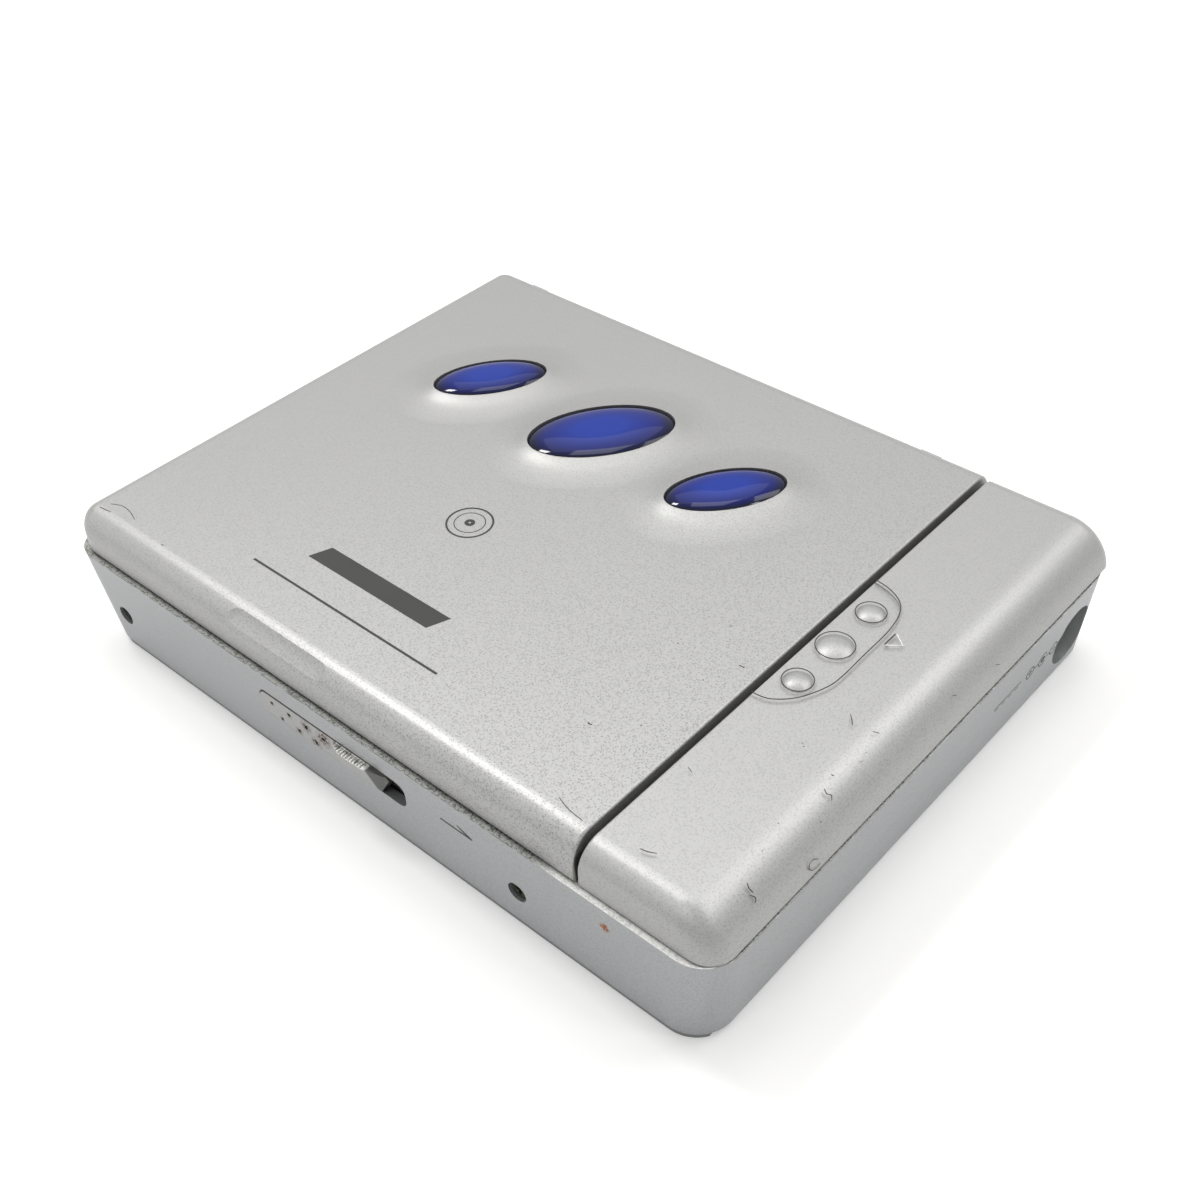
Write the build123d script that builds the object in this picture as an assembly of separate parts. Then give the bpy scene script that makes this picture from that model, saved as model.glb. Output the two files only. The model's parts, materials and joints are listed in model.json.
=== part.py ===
from build123d import *
import os
from math import cos, pi, radians, sin

os.makedirs("parts", exist_ok=True)

# Portable disc player. Millimetres, +Z up.
# Origin: middle of the underside. +X is the battery end, -Y the front with the opener.

# ------------------------------------------------------------------ case
case_length = 103.8       # along X, at the rim
case_depth = 80.0         # along Y, at the rim
rim_height = 13.2         # parting line between lower case and lid
wall = 1.2                # moulded walls
floor_thickness = 1.2
left_draft = 3.8          # how far each side leans in from rim to base
right_draft = 1.0
front_draft = 0.28
back_draft = 0.46
left_corner = 3.6         # plan radii at the rim
right_corner = 4.6
foot_height = 0.8         # the base stands on a shallow foot, set in from the sides
foot_inset = 0.15
foot_inset_right = 0.9

# ------------------------------------------------------------------ lid and battery door
lid_top = 18.65
door_top = 18.35
parting_gap = 0.3         # lid to rim
door_gap = 0.15           # battery door to rim
end_length = 17.55        # battery end, from the middle of the seam to the rim's end
seam_gap = 0.22
lid_lean = 0.55           # the lid's seam edge leans back by this much at the top
front_inset = 0.64        # lid and door stand in from the rim
back_inset = 0.23
left_inset = 0.75
right_inset = 0.06
front_round = 3.2         # round between top and front
back_round = 2.3
left_round = 2.0
door_end_round = 6.0
seam_round = 0.3
scoop_ends = (-19.0, -5.6)  # finger scoop in the lid's front round
scoop_tilt = 48.0         # how far round from level the scoop sits, degrees
scoop_radius = 4.0
scoop_depth = 0.35
grip_y = 0.8              # thumb grip in the battery door
grip_width = 6.3
grip_half = 12.0
grip_depth = 0.2
bump_offset = 2.75        # bumps from the seam
bumps = ((7.1, 1.75), (0.0, 2.2), (-7.1, 1.75))   # place along the grip, radius
bump_rise = 0.6
bead_rise = 1.3           # above the parting line: beads on the door, in the rails' grooves
bead_half = 0.3
bead_reach = 0.62

# ------------------------------------------------------------------ hinge
hinge_inset = 3.4         # axis of the hinge, from the rim's back and above the parting line
hinge_rise = 0.4
lid_open_angle = 45.0
hinge_gap = 0.35
pin_radius = 0.75
running_fit = 0.05        # radial, pins and shafts in their bores
post_width = 2.8
knuckle_width = 3.0
side_gap = 0.4            # hinge leaves lie this far apart

# ------------------------------------------------------------------ disc and its holder
cartridge_x = 72.0
cartridge_y = 68.0
cartridge_z = 5.0
cartridge_play = 0.3      # each side
disc_shift = 0.175        # centre of the disc, from the middle of the space left of the seam
disc_y = -1.8
cartridge_base = 8.9      # height of the cartridge's underside
sheet = 0.4               # holder's sheet steel
holder_flange = 3.9

# ------------------------------------------------------------------ inner frame
frame_top = 6.4
frame_wall = 1.0
frame_boss = 1.6          # radius of the bosses that take the side screws
rib_half = 0.6
wall_top = 15.7           # wall beside the battery
wall_thickness = 1.0
rail_rise = 2.2           # rails that carry the battery door, above the parting line
rail_gap = 0.15

# ------------------------------------------------------------------ mechanism
deck_z = 7.0
deck_thickness = 0.6
damper_radius = 1.9
damper_neck = 1.35
shoulder_radius = 0.7     # shoulder screws through the dampers
shoulder_depth = 2.5
turntable_radius = 5.6
spindle_radius = 0.75
motor_radius = 7.5
rod_radius = 0.75
rod_z = 5.2
rod_offset = 8.5
bracket = 0.6             # bent-down brackets of the deck
inner_track = 14.5        # pickup's nearest distance from the disc's centre
pickup_travel = 16.0
sled_half = 5.5
screw_z = 5.1
screw_offset = 13.5
lead_radius = 0.9
journal = 0.6
gear_offset = 2.8         # wheel of the lead screw, from the disc's centre
gear_module = 0.25
gear_teeth = 24
pinion_teeth = 10
gear_width = 1.4
pinion_shaft = 0.45
sled_motor_length = 10.0

# ------------------------------------------------------------------ boards
board_z = 1.9
board_thickness = 0.8
# chips: x, y, width along X, along Y, height
chip_places = (
    (-30, -12, 12, 12, 1.1),
    (-31, 12, 9, 12, 1.0),
    (-14, 24, 8, 8, 1.0),
    (6, 24, 12, 8, 1.0),
    (24, -24, 6, 8, 1.0),
    (-12, -30, 10, 5, 0.9),
    (26, 10, 5, 6, 0.9),
)
# capacitors: x, y, radius, height
can_places = ((-22, 26, 2.2, 3.0), (-36, -25, 2.0, 3.0), (25, 27, 1.9, 3.2))

# ------------------------------------------------------------------ battery bay
cell_diameter = 14.5
cell_length = 50.5
cell_play = 0.15
door_lip = 1.0
door_lip_base = 16.4
contact_thickness = 0.3
spring_length = 4.6
coil_radius = 3.6
coil_wire = 0.3
coil_turns = 3

# ------------------------------------------------------------------ opener
slot_left = -15.6
slot_right = 9.4
slot_low = 6.5
slot_high = 10.1
slot_corner = 1.3
opener_travel = 2.0
slide_gap = 0.2
end_gap = 0.1             # at the slot's left end, where the plate rests
plate_corner = 1.2
grip_left = -2.3          # thumb grip on the plate
grip_ramp = 1.9
grip_height = 0.95        # of the grip at its top edge; it runs out to nothing at its bottom edge
grip_foot = 0.12
grip_slope_low = 4.6      # the right end slopes off from here at the bottom, and from here at the top
grip_slope_high = 3.7
plate_slant = 1.9         # the plate's right end leans in by this much at the bottom
rib_pitch = 0.45
rib_count = 11
dimple_row = 8.0          # middle of the two staggered rows of dimples
dimple_spread = 0.8
dimple_pitch = 3.05
dimple_left = -13.3
dimple_half = 0.26
bar_thickness = 0.5
hook_z = 11.5
catch_offset = 23.0       # latch catches, either side of the disc's centre line
spring_inset = 2.8        # return spring of the opener, from the rim's front
spring_z = 8.4
spring_stop = 23.0
spring_span = 5.2

# ------------------------------------------------------------------ buttons
button_tilt = 54.5        # long axis, degrees from +X towards +Y
side_button = (7.8, 4.0)  # half axes
middle_button = (9.8, 5.5)
button_places = {
    "left_button": (-29.8, 14.8, side_button),
    "middle_button": (-9.3, 14.7, middle_button),
    "right_button": (11.1, 14.8, side_button),
}
button_gap = 0.15
button_travel = 0.3
button_rise = 1.5         # crown of the key above the lid's top
pad_height = 0.6          # the lid swells up round each key
pad_foot = 4.0            # how far the swelling reaches from the key, at its foot and at its top
pad_brow = 0.8
key_flange = 0.7
dome_rise = button_travel    # a dome flattens as its key is pressed
dome_radius = 2.2

# ------------------------------------------------------------------ sockets, keys and screws
power_inset = 7.6         # socket's axis, from the rim's back
power_z = 5.9
power_recess = 4.1        # radius
power_depth = 3.3         # socket's face, from the rim's end
power_sleeve = 2.6
power_bore = 2.1
phone_offset = 4.45       # from the seam
phone_z = 6.2
phone_bore = 1.8
phone_depth = 13.5
phone_nose = 2.9
side_screw_x = (-43.5, 25.95)
side_screw_z = 5.5
side_head = 1.15          # radius of the screw's head
side_seat = 0.3           # plastic left under the head
screw_shank = 0.7
volume_x = (4.0, 12.5)
hold_x = -18.0
key_z = 6.3
key_height = 2.8
key_width = 6.0
key_flange_depth = 0.7
key_travel = 0.4
hold_travel = 2.0
liner_gap = 0.3           # from the disc's holder up to the cover under the lid
liner_thickness = 0.5
liner_screw_radius = 0.5
liner_screw_length = 2.0
liner_head = 1.3
liner_head_depth = 0.25

# ------------------------------------------------------------------ derived
fit_gap = 0.15            # between parts that are assembled and stay
seam_x = case_length / 2 - end_length
hinge_y = case_depth / 2 - hinge_inset
hinge_z = rim_height + hinge_rise
disc_x = (seam_x - case_length / 2) / 2 + disc_shift
bead_z = rim_height + bead_rise
rail_top = rim_height + rail_rise
spring_y = -case_depth / 2 + spring_inset
power_y = case_depth / 2 - power_inset
power_face = case_length / 2 - power_depth
phone_x = seam_x + phone_offset
lid_under = lid_top - wall
lid_base = rim_height + parting_gap
door_base = rim_height + door_gap
lid_seam = seam_x - seam_gap / 2
door_seam = seam_x + seam_gap / 2
lid_left = -case_length / 2 + left_inset
lid_front = -case_depth / 2 + front_inset
lid_back = case_depth / 2 - back_inset
roll_radius = lid_back - hinge_y
roll_bore = roll_radius - wall
deck_top = deck_z + deck_thickness
board_top = board_z + board_thickness
holder_half = cartridge_x / 2 + cartridge_play + sheet
holder_base = cartridge_base - 0.1 - sheet
holder_top = cartridge_base + cartridge_z + 0.1 + sheet
liner_z = holder_top + liner_gap
key_board_top = liner_z + liner_thickness + 0.6
holder_front = disc_y - cartridge_y / 2 + 0.2
holder_back = disc_y + cartridge_y / 2 + cartridge_play + sheet
wall_x = door_seam + 0.1                # left face of the wall beside the battery
bay_left = wall_x + wall_thickness
cell_x = bay_left + cell_play + cell_diameter / 2
cell_z = floor_thickness + 0.3 + cell_diameter / 2
rail_front = lid_front + wall + 0.26    # outer faces of the door's rails
rail_back = lid_back - wall - 0.27
rail_thickness = 1.2
bay_front = rail_front + rail_thickness
bay_back = bay_front + contact_thickness + cell_length + spring_length + contact_thickness
tongue_front = bay_back + 1.6           # the main board's tongue behind the battery

# stations of the two hinge leaves, from the middle outwards: lid knuckle, holder's ear, frame's post
ear_inner = holder_half - sheet
knuckle_outer = ear_inner - side_gap
knuckle_inner = knuckle_outer - knuckle_width
post_inner = holder_half + side_gap
post_outer = post_inner + post_width

# the pickup's drive
gear_x = disc_x + gear_offset
screw_y = disc_y - screw_offset
pinion_y = screw_y - gear_module * (gear_teeth + pinion_teeth) / 2
rod_start = disc_x + 7.9
rod_end = disc_x + inner_track + pickup_travel + 7.5
screw_left = gear_x + gear_width + 0.3
screw_right = rod_end - 1.0
sled_low = rod_z - 1.3
sled_high = deck_z - 0.4

# the opener's plate in its slot
plate_low = slot_low + slide_gap
plate_high = slot_high - slide_gap
plate_left = slot_left + end_gap
plate_right = slot_right - opener_travel - slide_gap
bar_front = -case_depth / 2 + front_draft * (1 - slot_low / rim_height) + wall + 0.25
bar_back = bar_front + bar_thickness


# ================================================================== helpers
def block(x0, x1, y0, y1, z0, z1):
    """A box between two corners."""
    return Pos((x0 + x1) / 2, (y0 + y1) / 2, (z0 + z1) / 2) * Box(x1 - x0, y1 - y0, z1 - z0)


def bar_x(x0, x1, y, z, radius):
    return Pos((x0 + x1) / 2, y, z) * Rot(0, 90, 0) * Cylinder(radius, x1 - x0)


def bar_y(x, y0, y1, z, radius):
    return Pos(x, (y0 + y1) / 2, z) * Rot(90, 0, 0) * Cylinder(radius, y1 - y0)


def bar_z(x, y, z0, z1, radius):
    return Pos(x, y, (z0 + z1) / 2) * Cylinder(radius, z1 - z0)


def slot_y(x0, x1, y0, y1, z0, z1):
    """A bar with round ends in X and Z, running along Y."""
    face = Plane.XZ * Pos((x0 + x1) / 2, (z0 + z1) / 2) * SlotOverall(x1 - x0, z1 - z0)
    return Pos(0, (y0 + y1) / 2, 0) * extrude(face, (y1 - y0) / 2, both=True)


def bar_rounded(x0, x1, y0, y1, z0, z1, corner):
    """A bar along Y whose section in XZ has small round corners."""
    face = Plane.XZ * Pos((x0 + x1) / 2, (z0 + z1) / 2) * RectangleRounded(x1 - x0, z1 - z0, corner)
    return Pos(0, (y0 + y1) / 2, 0) * extrude(face, (y1 - y0) / 2, both=True)


def plate(x0, x1, y0, y1, z0, z1, corner):
    """A flat plate with round plan corners."""
    face = Pos((x0 + x1) / 2, (y0 + y1) / 2, z0) * RectangleRounded(x1 - x0, y1 - y0, corner)
    return extrude(face, z1 - z0)


def oval_face(x, y, half_axes, grow, z):
    """An ellipse, turned as the buttons are."""
    return Pos(x, y, z) * Rot(0, 0, button_tilt) * Ellipse(half_axes[0] + grow, half_axes[1] + grow)


def oval(x, y, half_axes, grow, z0, z1):
    """An elliptical column."""
    return extrude(oval_face(x, y, half_axes, grow, z0), z1 - z0)


def standing(edges):
    """The edges that climb in Z."""
    return ShapeList([e for e in edges if abs((e @ 1 - e @ 0).Z) > 0.5])


def above(edges, z):
    """The edges that don't lie in the plane at height z."""
    return ShapeList([e for e in edges if e.center().Z > z + 0.01])


def side_left(z):
    return -case_length / 2 + left_draft * (1 - z / rim_height)


def side_right(z):
    return case_length / 2 - right_draft * (1 - z / rim_height)


def side_front(z):
    return -case_depth / 2 + front_draft * (1 - z / rim_height)


def side_back(z):
    return case_depth / 2 - back_draft * (1 - z / rim_height)


def tapered(inset, z0, z1):
    """The lower case's leaning form, drawn in by inset, between two heights."""
    sections = []
    for z in (z0, z1):
        x0 = side_left(z) + inset
        x1 = side_right(z) - inset
        y0 = side_front(z) + inset
        y1 = side_back(z) - inset
        sections.append(Pos((x0 + x1) / 2, (y0 + y1) / 2, z) * Rectangle(x1 - x0, y1 - y0))
    body = loft(sections, ruled=True)
    body = fillet(standing(body.edges()).sort_by(Axis.X)[:2], max(left_corner - inset, 0.5))
    return fillet(standing(body.edges()).sort_by(Axis.X)[-2:], max(right_corner - inset, 0.5))


def upper_form(corners, end_rounds, y0, y1, rounds):
    """A side view in XZ run along Y, with its end edges and its front and back rounded.

    corners: base left, top left, top right, base right. end_rounds: radii at top left and top right.
    """
    profile = Plane.XZ * Polygon(*corners, align=None)
    body = Pos(0, (y0 + y1) / 2, 0) * extrude(profile, (y1 - y0) / 2, both=True)
    base = corners[0][1]
    ridges = body.edges().filter_by(Axis.Y).sort_by(Axis.Z)[-2:].sort_by(Axis.X)
    for place, radius in enumerate(end_rounds):
        if radius:
            body = fillet(ridges[place], radius)
    for last, radius in ((0, rounds[0]), (-1, rounds[1])):
        rim = above(body.faces().sort_by(Axis.Y)[last].edges(), base)
        seam_side = -1 if end_rounds[0] else 0
        seam_edge = standing(rim).sort_by(Axis.X)[seam_side]
        body = fillet(ShapeList([e for e in rim if e != seam_edge]), radius)
    return body


def seam_at(z, inset):
    """The lid's leaning seam edge at height z."""
    return lid_seam - lid_lean * (z - rim_height) / (lid_top - rim_height) - inset


def lid_form(inset, base):
    """The lid's form, drawn in by inset, closed solid from base to its top."""
    left = lid_left + inset
    top = lid_top - inset
    corners = ((left, base), (left, top), (seam_at(top, inset), top), (seam_at(base, inset), base))
    rounds = (front_round - inset, back_round - inset)
    return upper_form(corners, (left_round - inset, 0), lid_front + inset, lid_back - inset, rounds)


def door_form(inset, base):
    """The battery door's form, drawn in by inset."""
    right = case_length / 2 - right_inset - inset
    left = door_seam + (door_lip if inset else 0)
    top = door_top - inset
    deep = top - door_end_round - 1
    corners = ((left, deep), (left, top), (right, top), (right, deep))
    rounds = (front_round - inset, back_round - inset)
    body = upper_form(corners, (0, door_end_round - inset), lid_front + inset, lid_back - inset, rounds)
    return body - block(left - 1, right + 1, -case_depth, case_depth, deep - 1, base)


def at_hinge(angle):
    """The hinge's frame, turned open by angle."""
    return Pos(0, hinge_y, hinge_z) * Rot(-angle, 0, 0)


def hinge_bar(x0, x1, radius):
    return bar_x(x0, x1, hinge_y, hinge_z, radius)


def both_sides(inner, outer):
    """X spans of a hinge leaf at the left and at the right."""
    return (disc_x - outer, disc_x - inner), (disc_x + inner, disc_x + outer)


# ================================================================== outer case
def key_slots(grow):
    """The openings for the two volume keys and the hold switch in the back wall."""
    y0, y1 = side_back(0) - 3.5, side_back(rim_height) + 1
    spans = [(x - key_width / 2, x + key_width / 2) for x in volume_x]
    spans.append((hold_x - key_width / 2 - hold_travel, hold_x + key_width / 2))
    low, high = key_z - key_height / 2 - grow, key_z + key_height / 2 + grow
    return [slot_y(x0 - grow, x1 + grow, y0, y1, low, high) for x0, x1 in spans]


def hinge_clearance(x0, x1):
    """The space that the lid's rolled back edge needs, up to its stop when fully open."""
    reach = roll_radius + hinge_gap
    swept = at_hinge(lid_open_angle) * block(x0, x1, 0, reach, 0, 4 * reach)
    return hinge_bar(x0, x1, reach) + swept


def lower_shell():
    outer = tapered(0, foot_height, rim_height)
    foot = tapered(foot_inset, 0, rim_height)
    foot &= block(-case_length, side_right(0) - foot_inset_right, -case_depth, case_depth, 0, foot_height)
    shell = outer + foot - tapered(wall, floor_thickness, rim_height + 1)

    # collar round the power socket's recess, and its mouth
    collar = bar_x(power_face, side_right(power_z) - wall / 2, power_y, power_z, power_recess + 0.9)
    shell += collar & outer
    shell -= bar_x(power_face - 1, case_length / 2 + 1, power_y, power_z, power_recess)

    # posts under the main board, and cradle ribs under the battery
    for x, y in ((-38, -30), (-38, 27), (20, -30), (20, 30), (-8, 33)):
        shell += bar_z(x, y, floor_thickness / 2, board_z, 1.5)
    for y in (-22, 4):
        rib = block(bay_left + 0.2, side_right(floor_thickness) - wall / 2, y - 0.6, y + 0.6,
                    floor_thickness / 2, cell_z - 4.5)
        shell += (rib & outer) - bar_y(cell_x, y - 2, y + 2, cell_z, cell_diameter / 2 + cell_play)

    shell -= hinge_clearance(-case_length, lid_seam + 0.15)
    shell -= bar_rounded(slot_left, slot_right, side_front(0) - 1, side_front(0) + 2 * wall,
                         slot_low, slot_high, slot_corner)
    for slot in key_slots(slide_gap):
        shell -= slot
    shell -= bar_y(phone_x, 30, case_depth, phone_z, phone_nose + 0.1)
    for x in side_screw_x:
        for seat, mouth in ((side_front(side_screw_z) + wall - side_seat, -case_depth / 2 - 1),
                            (side_back(side_screw_z) - wall + side_seat, case_depth / 2 + 1)):
            shell -= bar_y(x, min(seat, mouth), max(seat, mouth), side_screw_z, side_head + 0.15)
            deep = seat - 2 * wall if mouth > 0 else seat + 2 * wall
            shell -= bar_y(x, min(seat, deep), max(seat, deep), side_screw_z, screw_shank + 0.15)
    return shell


def button_pad(x, y, half):
    """The swelling of the lid round a key."""
    foot = oval_face(x, y, half, pad_foot, lid_top)
    brow = oval_face(x, y, half, pad_brow, lid_top + pad_height)
    return loft([foot, brow], ruled=True) + oval(x, y, half, pad_foot, lid_under + wall / 2, lid_top)


def finger_scoop():
    """A ball cutter's track along the lid's front round."""
    tilt = radians(scoop_tilt)
    reach = front_round + scoop_radius - scoop_depth
    y = lid_front + front_round - reach * cos(tilt)
    z = lid_top - front_round + reach * sin(tilt)
    track = bar_x(*scoop_ends, y, z, scoop_radius)
    for x in scoop_ends:
        track += Pos(x, y, z) * Sphere(scoop_radius)
    return track


def lid_shell():
    shell = fillet_seam(lid_form(0, lid_base), lid_base, -1)
    for x, y, half in button_places.values():
        shell += button_pad(x, y, half)
    shell -= lid_form(wall, lid_base - 1)
    shell -= finger_scoop()

    # rolled back edge round the hinge line, open where the posts and ears stand
    skirt = lid_form(0, hinge_z - roll_radius - 1) & hinge_bar(-case_length, lid_seam, roll_radius)
    hollow = lid_form(wall, hinge_z - roll_radius - 2) & hinge_bar(-case_length, case_length, roll_bore)
    below = block(-case_length, case_length, 0, case_depth, 0, hinge_z)
    skirt = (skirt - hollow) & below
    inner_left = lid_left + wall
    (left0, left1), (right0, right1) = both_sides(knuckle_inner, knuckle_outer)
    keep = block(-case_length, inner_left, 0, case_depth, 0, hinge_z)
    keep += block(left0, right1, 0, case_depth, 0, hinge_z)
    keep += block(lid_seam - wall - lid_lean, case_length, 0, case_depth, 0, hinge_z)
    skirt = skirt & keep
    shell += skirt
    for x0, x1 in ((left0, left1), (right0, right1)):
        shell += hinge_bar(x0, x1, roll_radius)
        shell += block(x0, x1, hinge_y - 0.6, lid_back - wall / 2, hinge_z, lid_under + wall / 2)
        shell -= hinge_bar(x0 - 1, x1 + 1, pin_radius + running_fit)
    for x, y in liner_screw_places():
        boss = bar_z(x, y, liner_z + liner_thickness, lid_under + wall / 2, 1.6)
        shell += boss - bar_z(x, y, 0, liner_z + liner_screw_length, liner_screw_radius)
    for x, y, half in button_places.values():
        shell -= oval(x, y, half, button_gap, lid_base, lid_top + 2 * pad_height)
    return shell


def fillet_seam(body, base, side):
    """A small round along the edge that meets the seam."""
    face = body.faces().sort_by(Axis.X)[side]
    return fillet(above(face.edges(), base), seam_round)


def liner_screw_places():
    """Six screws round the lid's inside, clear of the key board."""
    left = lid_left + wall + 3.2
    right = lid_seam - lid_lean - wall - 3.0
    return [(x, y) for x in (left, right) for y in (lid_front + 4.5, -6.0, hinge_y - 7.0)]


def grip_outline():
    """D-shaped thumb grip in the door's top, open to the seam."""
    with BuildSketch() as grip:
        with BuildLine():
            Spline(
                (door_seam, grip_y - grip_half),
                (door_seam + 4.4, grip_y - 9.4),
                (door_seam + grip_width, grip_y - 4.0),
                tangents=((1, 0.12), (0.05, 1)),
            )
            Line((door_seam + grip_width, grip_y - 4.0), (door_seam + grip_width - 0.2, grip_y + 5.6))
            Spline(
                (door_seam + grip_width - 0.2, grip_y + 5.6),
                (door_seam + 4.2, grip_y + 10.6),
                (door_seam, grip_y + grip_half),
                tangents=((-0.05, 1), (-1, 0.12)),
            )
            Line((door_seam, grip_y + grip_half), (door_seam, grip_y - grip_half))
        make_face()
    return grip.sketch


def battery_door():
    door = fillet_seam(door_form(0, door_base), door_base, 0)
    door -= door_form(wall, door_base - 1)
    door -= block(door_seam - 1, door_seam + door_lip + 1, lid_front + wall, lid_back - wall,
                  door_base - 1, door_lip_base)
    door -= Pos(0, 0, door_top - grip_depth) * extrude(grip_outline(), 1)
    for along, radius in bumps:
        sphere = (radius ** 2 + bump_rise ** 2) / (2 * bump_rise)
        base = door_top - grip_depth
        x, y = door_seam + bump_offset, grip_y + along
        ball = Pos(x, y, base + bump_rise - sphere) * Sphere(sphere)
        door += ball & block(x - 3, x + 3, y - 3, y + 3, base - 0.1, base + 1)

    # beads that run in the grooves of the rails
    for face, reach in ((lid_front + wall, bead_reach), (lid_back - wall, -bead_reach)):
        root, tip = sorted((face - reach / 4, face + reach))
        door += block(door_seam + 1.5, side_right(rim_height) - door_end_round, root, tip,
                      bead_z - bead_half, bead_z + bead_half)
    return door


# ================================================================== inner frame
def hinge_post(x0, x1, room):
    eye = hinge_bar(x0, x1, roll_bore - 0.27)
    web = block(x0, x1, hinge_y - 1.2, hinge_y + 1.0, frame_top - 1, hinge_z)
    foot = block(x0, x1, hinge_y - 1.2, case_depth / 2, frame_top - 1.5, frame_top)
    return eye + ((web + foot) & room)


def damper_places():
    left = side_left(deck_z) + wall + 0.6 + damper_radius
    right = lid_seam - 0.9 - damper_radius
    return [(x, y) for x in (left, right) for y in (disc_y - 25, disc_y + 25)]


def inner_frame():
    outer = tapered(wall + fit_gap, floor_thickness, frame_top)
    inner = tapered(wall + fit_gap + frame_wall, floor_thickness - 1, frame_top + 1)
    room = tapered(wall + fit_gap, floor_thickness, 2 * rim_height)
    frame = (outer - inner) & block(-case_length, wall_x + 0.5, -case_depth, case_depth, 0, case_depth)
    for x, y in damper_places():
        frame += bar_z(x, y, floor_thickness, frame_top, damper_radius) & outer
        if x > 0:
            frame += block(x, bay_left, y - rib_half, y + rib_half, floor_thickness, frame_top)
    for x in side_screw_x:
        for y0, y1 in ((side_front(side_screw_z) + wall + fit_gap, holder_front - 0.8),
                       (disc_y + cartridge_y / 2 + 3.4, side_back(side_screw_z) - wall - fit_gap)):
            frame += bar_y(x, y0, y1, side_screw_z, frame_boss)
    for span in both_sides(post_inner, post_outer):
        frame += hinge_post(*span, room)

    # stop for the opener's spring
    frame += block(spring_stop, spring_stop + 0.9, rail_front - 0.35, spring_y + 0.8,
                   frame_top - 1, spring_z + 0.9)

    # wall beside the battery, rails for the door, wall behind the battery
    tall = block(wall_x, bay_left, rail_front, rail_back, floor_thickness, wall_top)
    end_x = side_right(floor_thickness) - wall - 1.6
    tall += block(wall_x, end_x, rail_front, bay_front, floor_thickness, rail_top)
    tall += block(wall_x, end_x, rail_back - rail_thickness, rail_back, floor_thickness, rail_top)
    tall += block(wall_x, end_x, bay_back, bay_back + 1.0, floor_thickness, wall_top)
    frame += tall & room
    groove = bead_z - bead_half - rail_gap, bead_z + bead_half + rail_gap
    depth = bead_reach - (rail_front - lid_front - wall) + rail_gap
    frame -= block(wall_x - 1, case_length, rail_front - 1, rail_front + depth, *groove)
    frame -= block(wall_x - 1, case_length, rail_back - depth, rail_back + 1, *groove)

    # the board's tongue passes under the wall, and jacks and keys pass through
    frame -= block(wall_x - 1, bay_left + 1, tongue_front - 0.3, rail_back + 1, 0, board_top + 0.3)
    frame -= block(wall_x + 1, end_x + 1, rail_back - 2, rail_back + 1, 0, board_top + 0.3)
    frame -= bar_y(phone_x, rail_back - 2, case_depth, phone_z, phone_nose + 0.15)
    for x0, x1 in key_spans():
        frame -= block(x0, x1, side_back(0) - 4.5, case_depth, key_z - key_height / 2 - 1.0, frame_top + 1)
    for x in side_screw_x:
        frame -= bar_y(x, -case_depth, case_depth, side_screw_z, screw_shank)
    for x, y in damper_places():
        frame -= bar_z(x, y, frame_top - shoulder_depth, frame_top + 1, shoulder_radius)
    for x0, x1 in both_sides(post_inner - 1, post_outer + 1):
        frame -= hinge_bar(x0, x1, pin_radius)
    return frame


def key_spans():
    spans = [(x - key_width / 2 - 1.1, x + key_width / 2 + 1.1) for x in volume_x]
    spans.append((hold_x - key_width / 2 - hold_travel - 1.1, hold_x + key_width / 2 + 1.1))
    return spans


# ================================================================== mechanism
def spur(teeth, width, bore):
    """A straight-cut gear, axis along X, first tooth towards +Y, from x = 0 to width."""
    pitch = gear_module * teeth / 2
    root = pitch - 1.15 * gear_module
    tip = pitch + 0.85 * gear_module
    step = 2 * pi / teeth
    points = []
    for n in range(teeth):
        for share, radius in ((-0.30, root), (-0.13, tip), (0.13, tip), (0.30, root)):
            angle = (n + share) * step
            points.append((radius * cos(angle), radius * sin(angle)))
    face = Polygon(*points, align=None) - Circle(bore)
    return extrude(Plane.YZ * face, width)


def chassis_plate():
    x0 = side_left(deck_z) + wall + 0.5
    x1 = wall_x - 0.9
    y0 = holder_front - 0.5
    y1 = disc_y + cartridge_y / 2 + 1.5
    deck = plate(x0, x1, y0, y1, deck_z, deck_top, 2.0)
    deck += block(x0 + 6, x1 - 6, y0, y0 + bracket, deck_z - 1.6, deck_z)
    deck += block(x0 + 6, x1 - 6, y1 - bracket, y1, deck_z - 1.4, deck_z)
    deck -= bar_z(disc_x, disc_y, 0, deck_top + 1, turntable_radius + 0.7)
    window = plate(disc_x + 9, rod_end - 1.5, disc_y - 4.2, disc_y + 4.2, 0, deck_top + 1, 2.0)
    deck -= window
    deck -= block(gear_x - 0.5, gear_x + gear_width + 0.25, pinion_y - 2.2, screw_y + 3.8, 0, deck_top + 1)
    for x, y in damper_places():
        deck -= bar_z(x, y, 0, deck_top + 1, damper_neck)
    for x in (rod_start, rod_end - bracket):
        for side in (-1, 1):
            y = disc_y + side * rod_offset
            deck += block(x, x + bracket, y - 1.6, y + 1.6, rod_z - 1.5, deck_z)
            deck -= bar_x(x - 1, x + 2, y, rod_z, rod_radius)
    for x in (screw_left, screw_right - bracket):
        deck += block(x, x + bracket, screw_y - 1.5, screw_y + 1.5, screw_z - 1.4, deck_z)
        deck -= bar_x(x - 1, x + 2, screw_y, screw_z, journal + running_fit)

    # two pins that locate the cartridge, and stiffening beads
    for x, y in ((disc_x - 30, disc_y + 27), (disc_x + 30, disc_y - 27)):
        deck += bar_z(x, y, deck_z, cartridge_base - 0.1, 1.0)
    for y in (disc_y - 22, disc_y + 22):
        deck += plate(disc_x - 24, disc_x + 24, y - 1.5, y + 1.5, deck_z, deck_top + 0.3, 1.4)
    return deck


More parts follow.
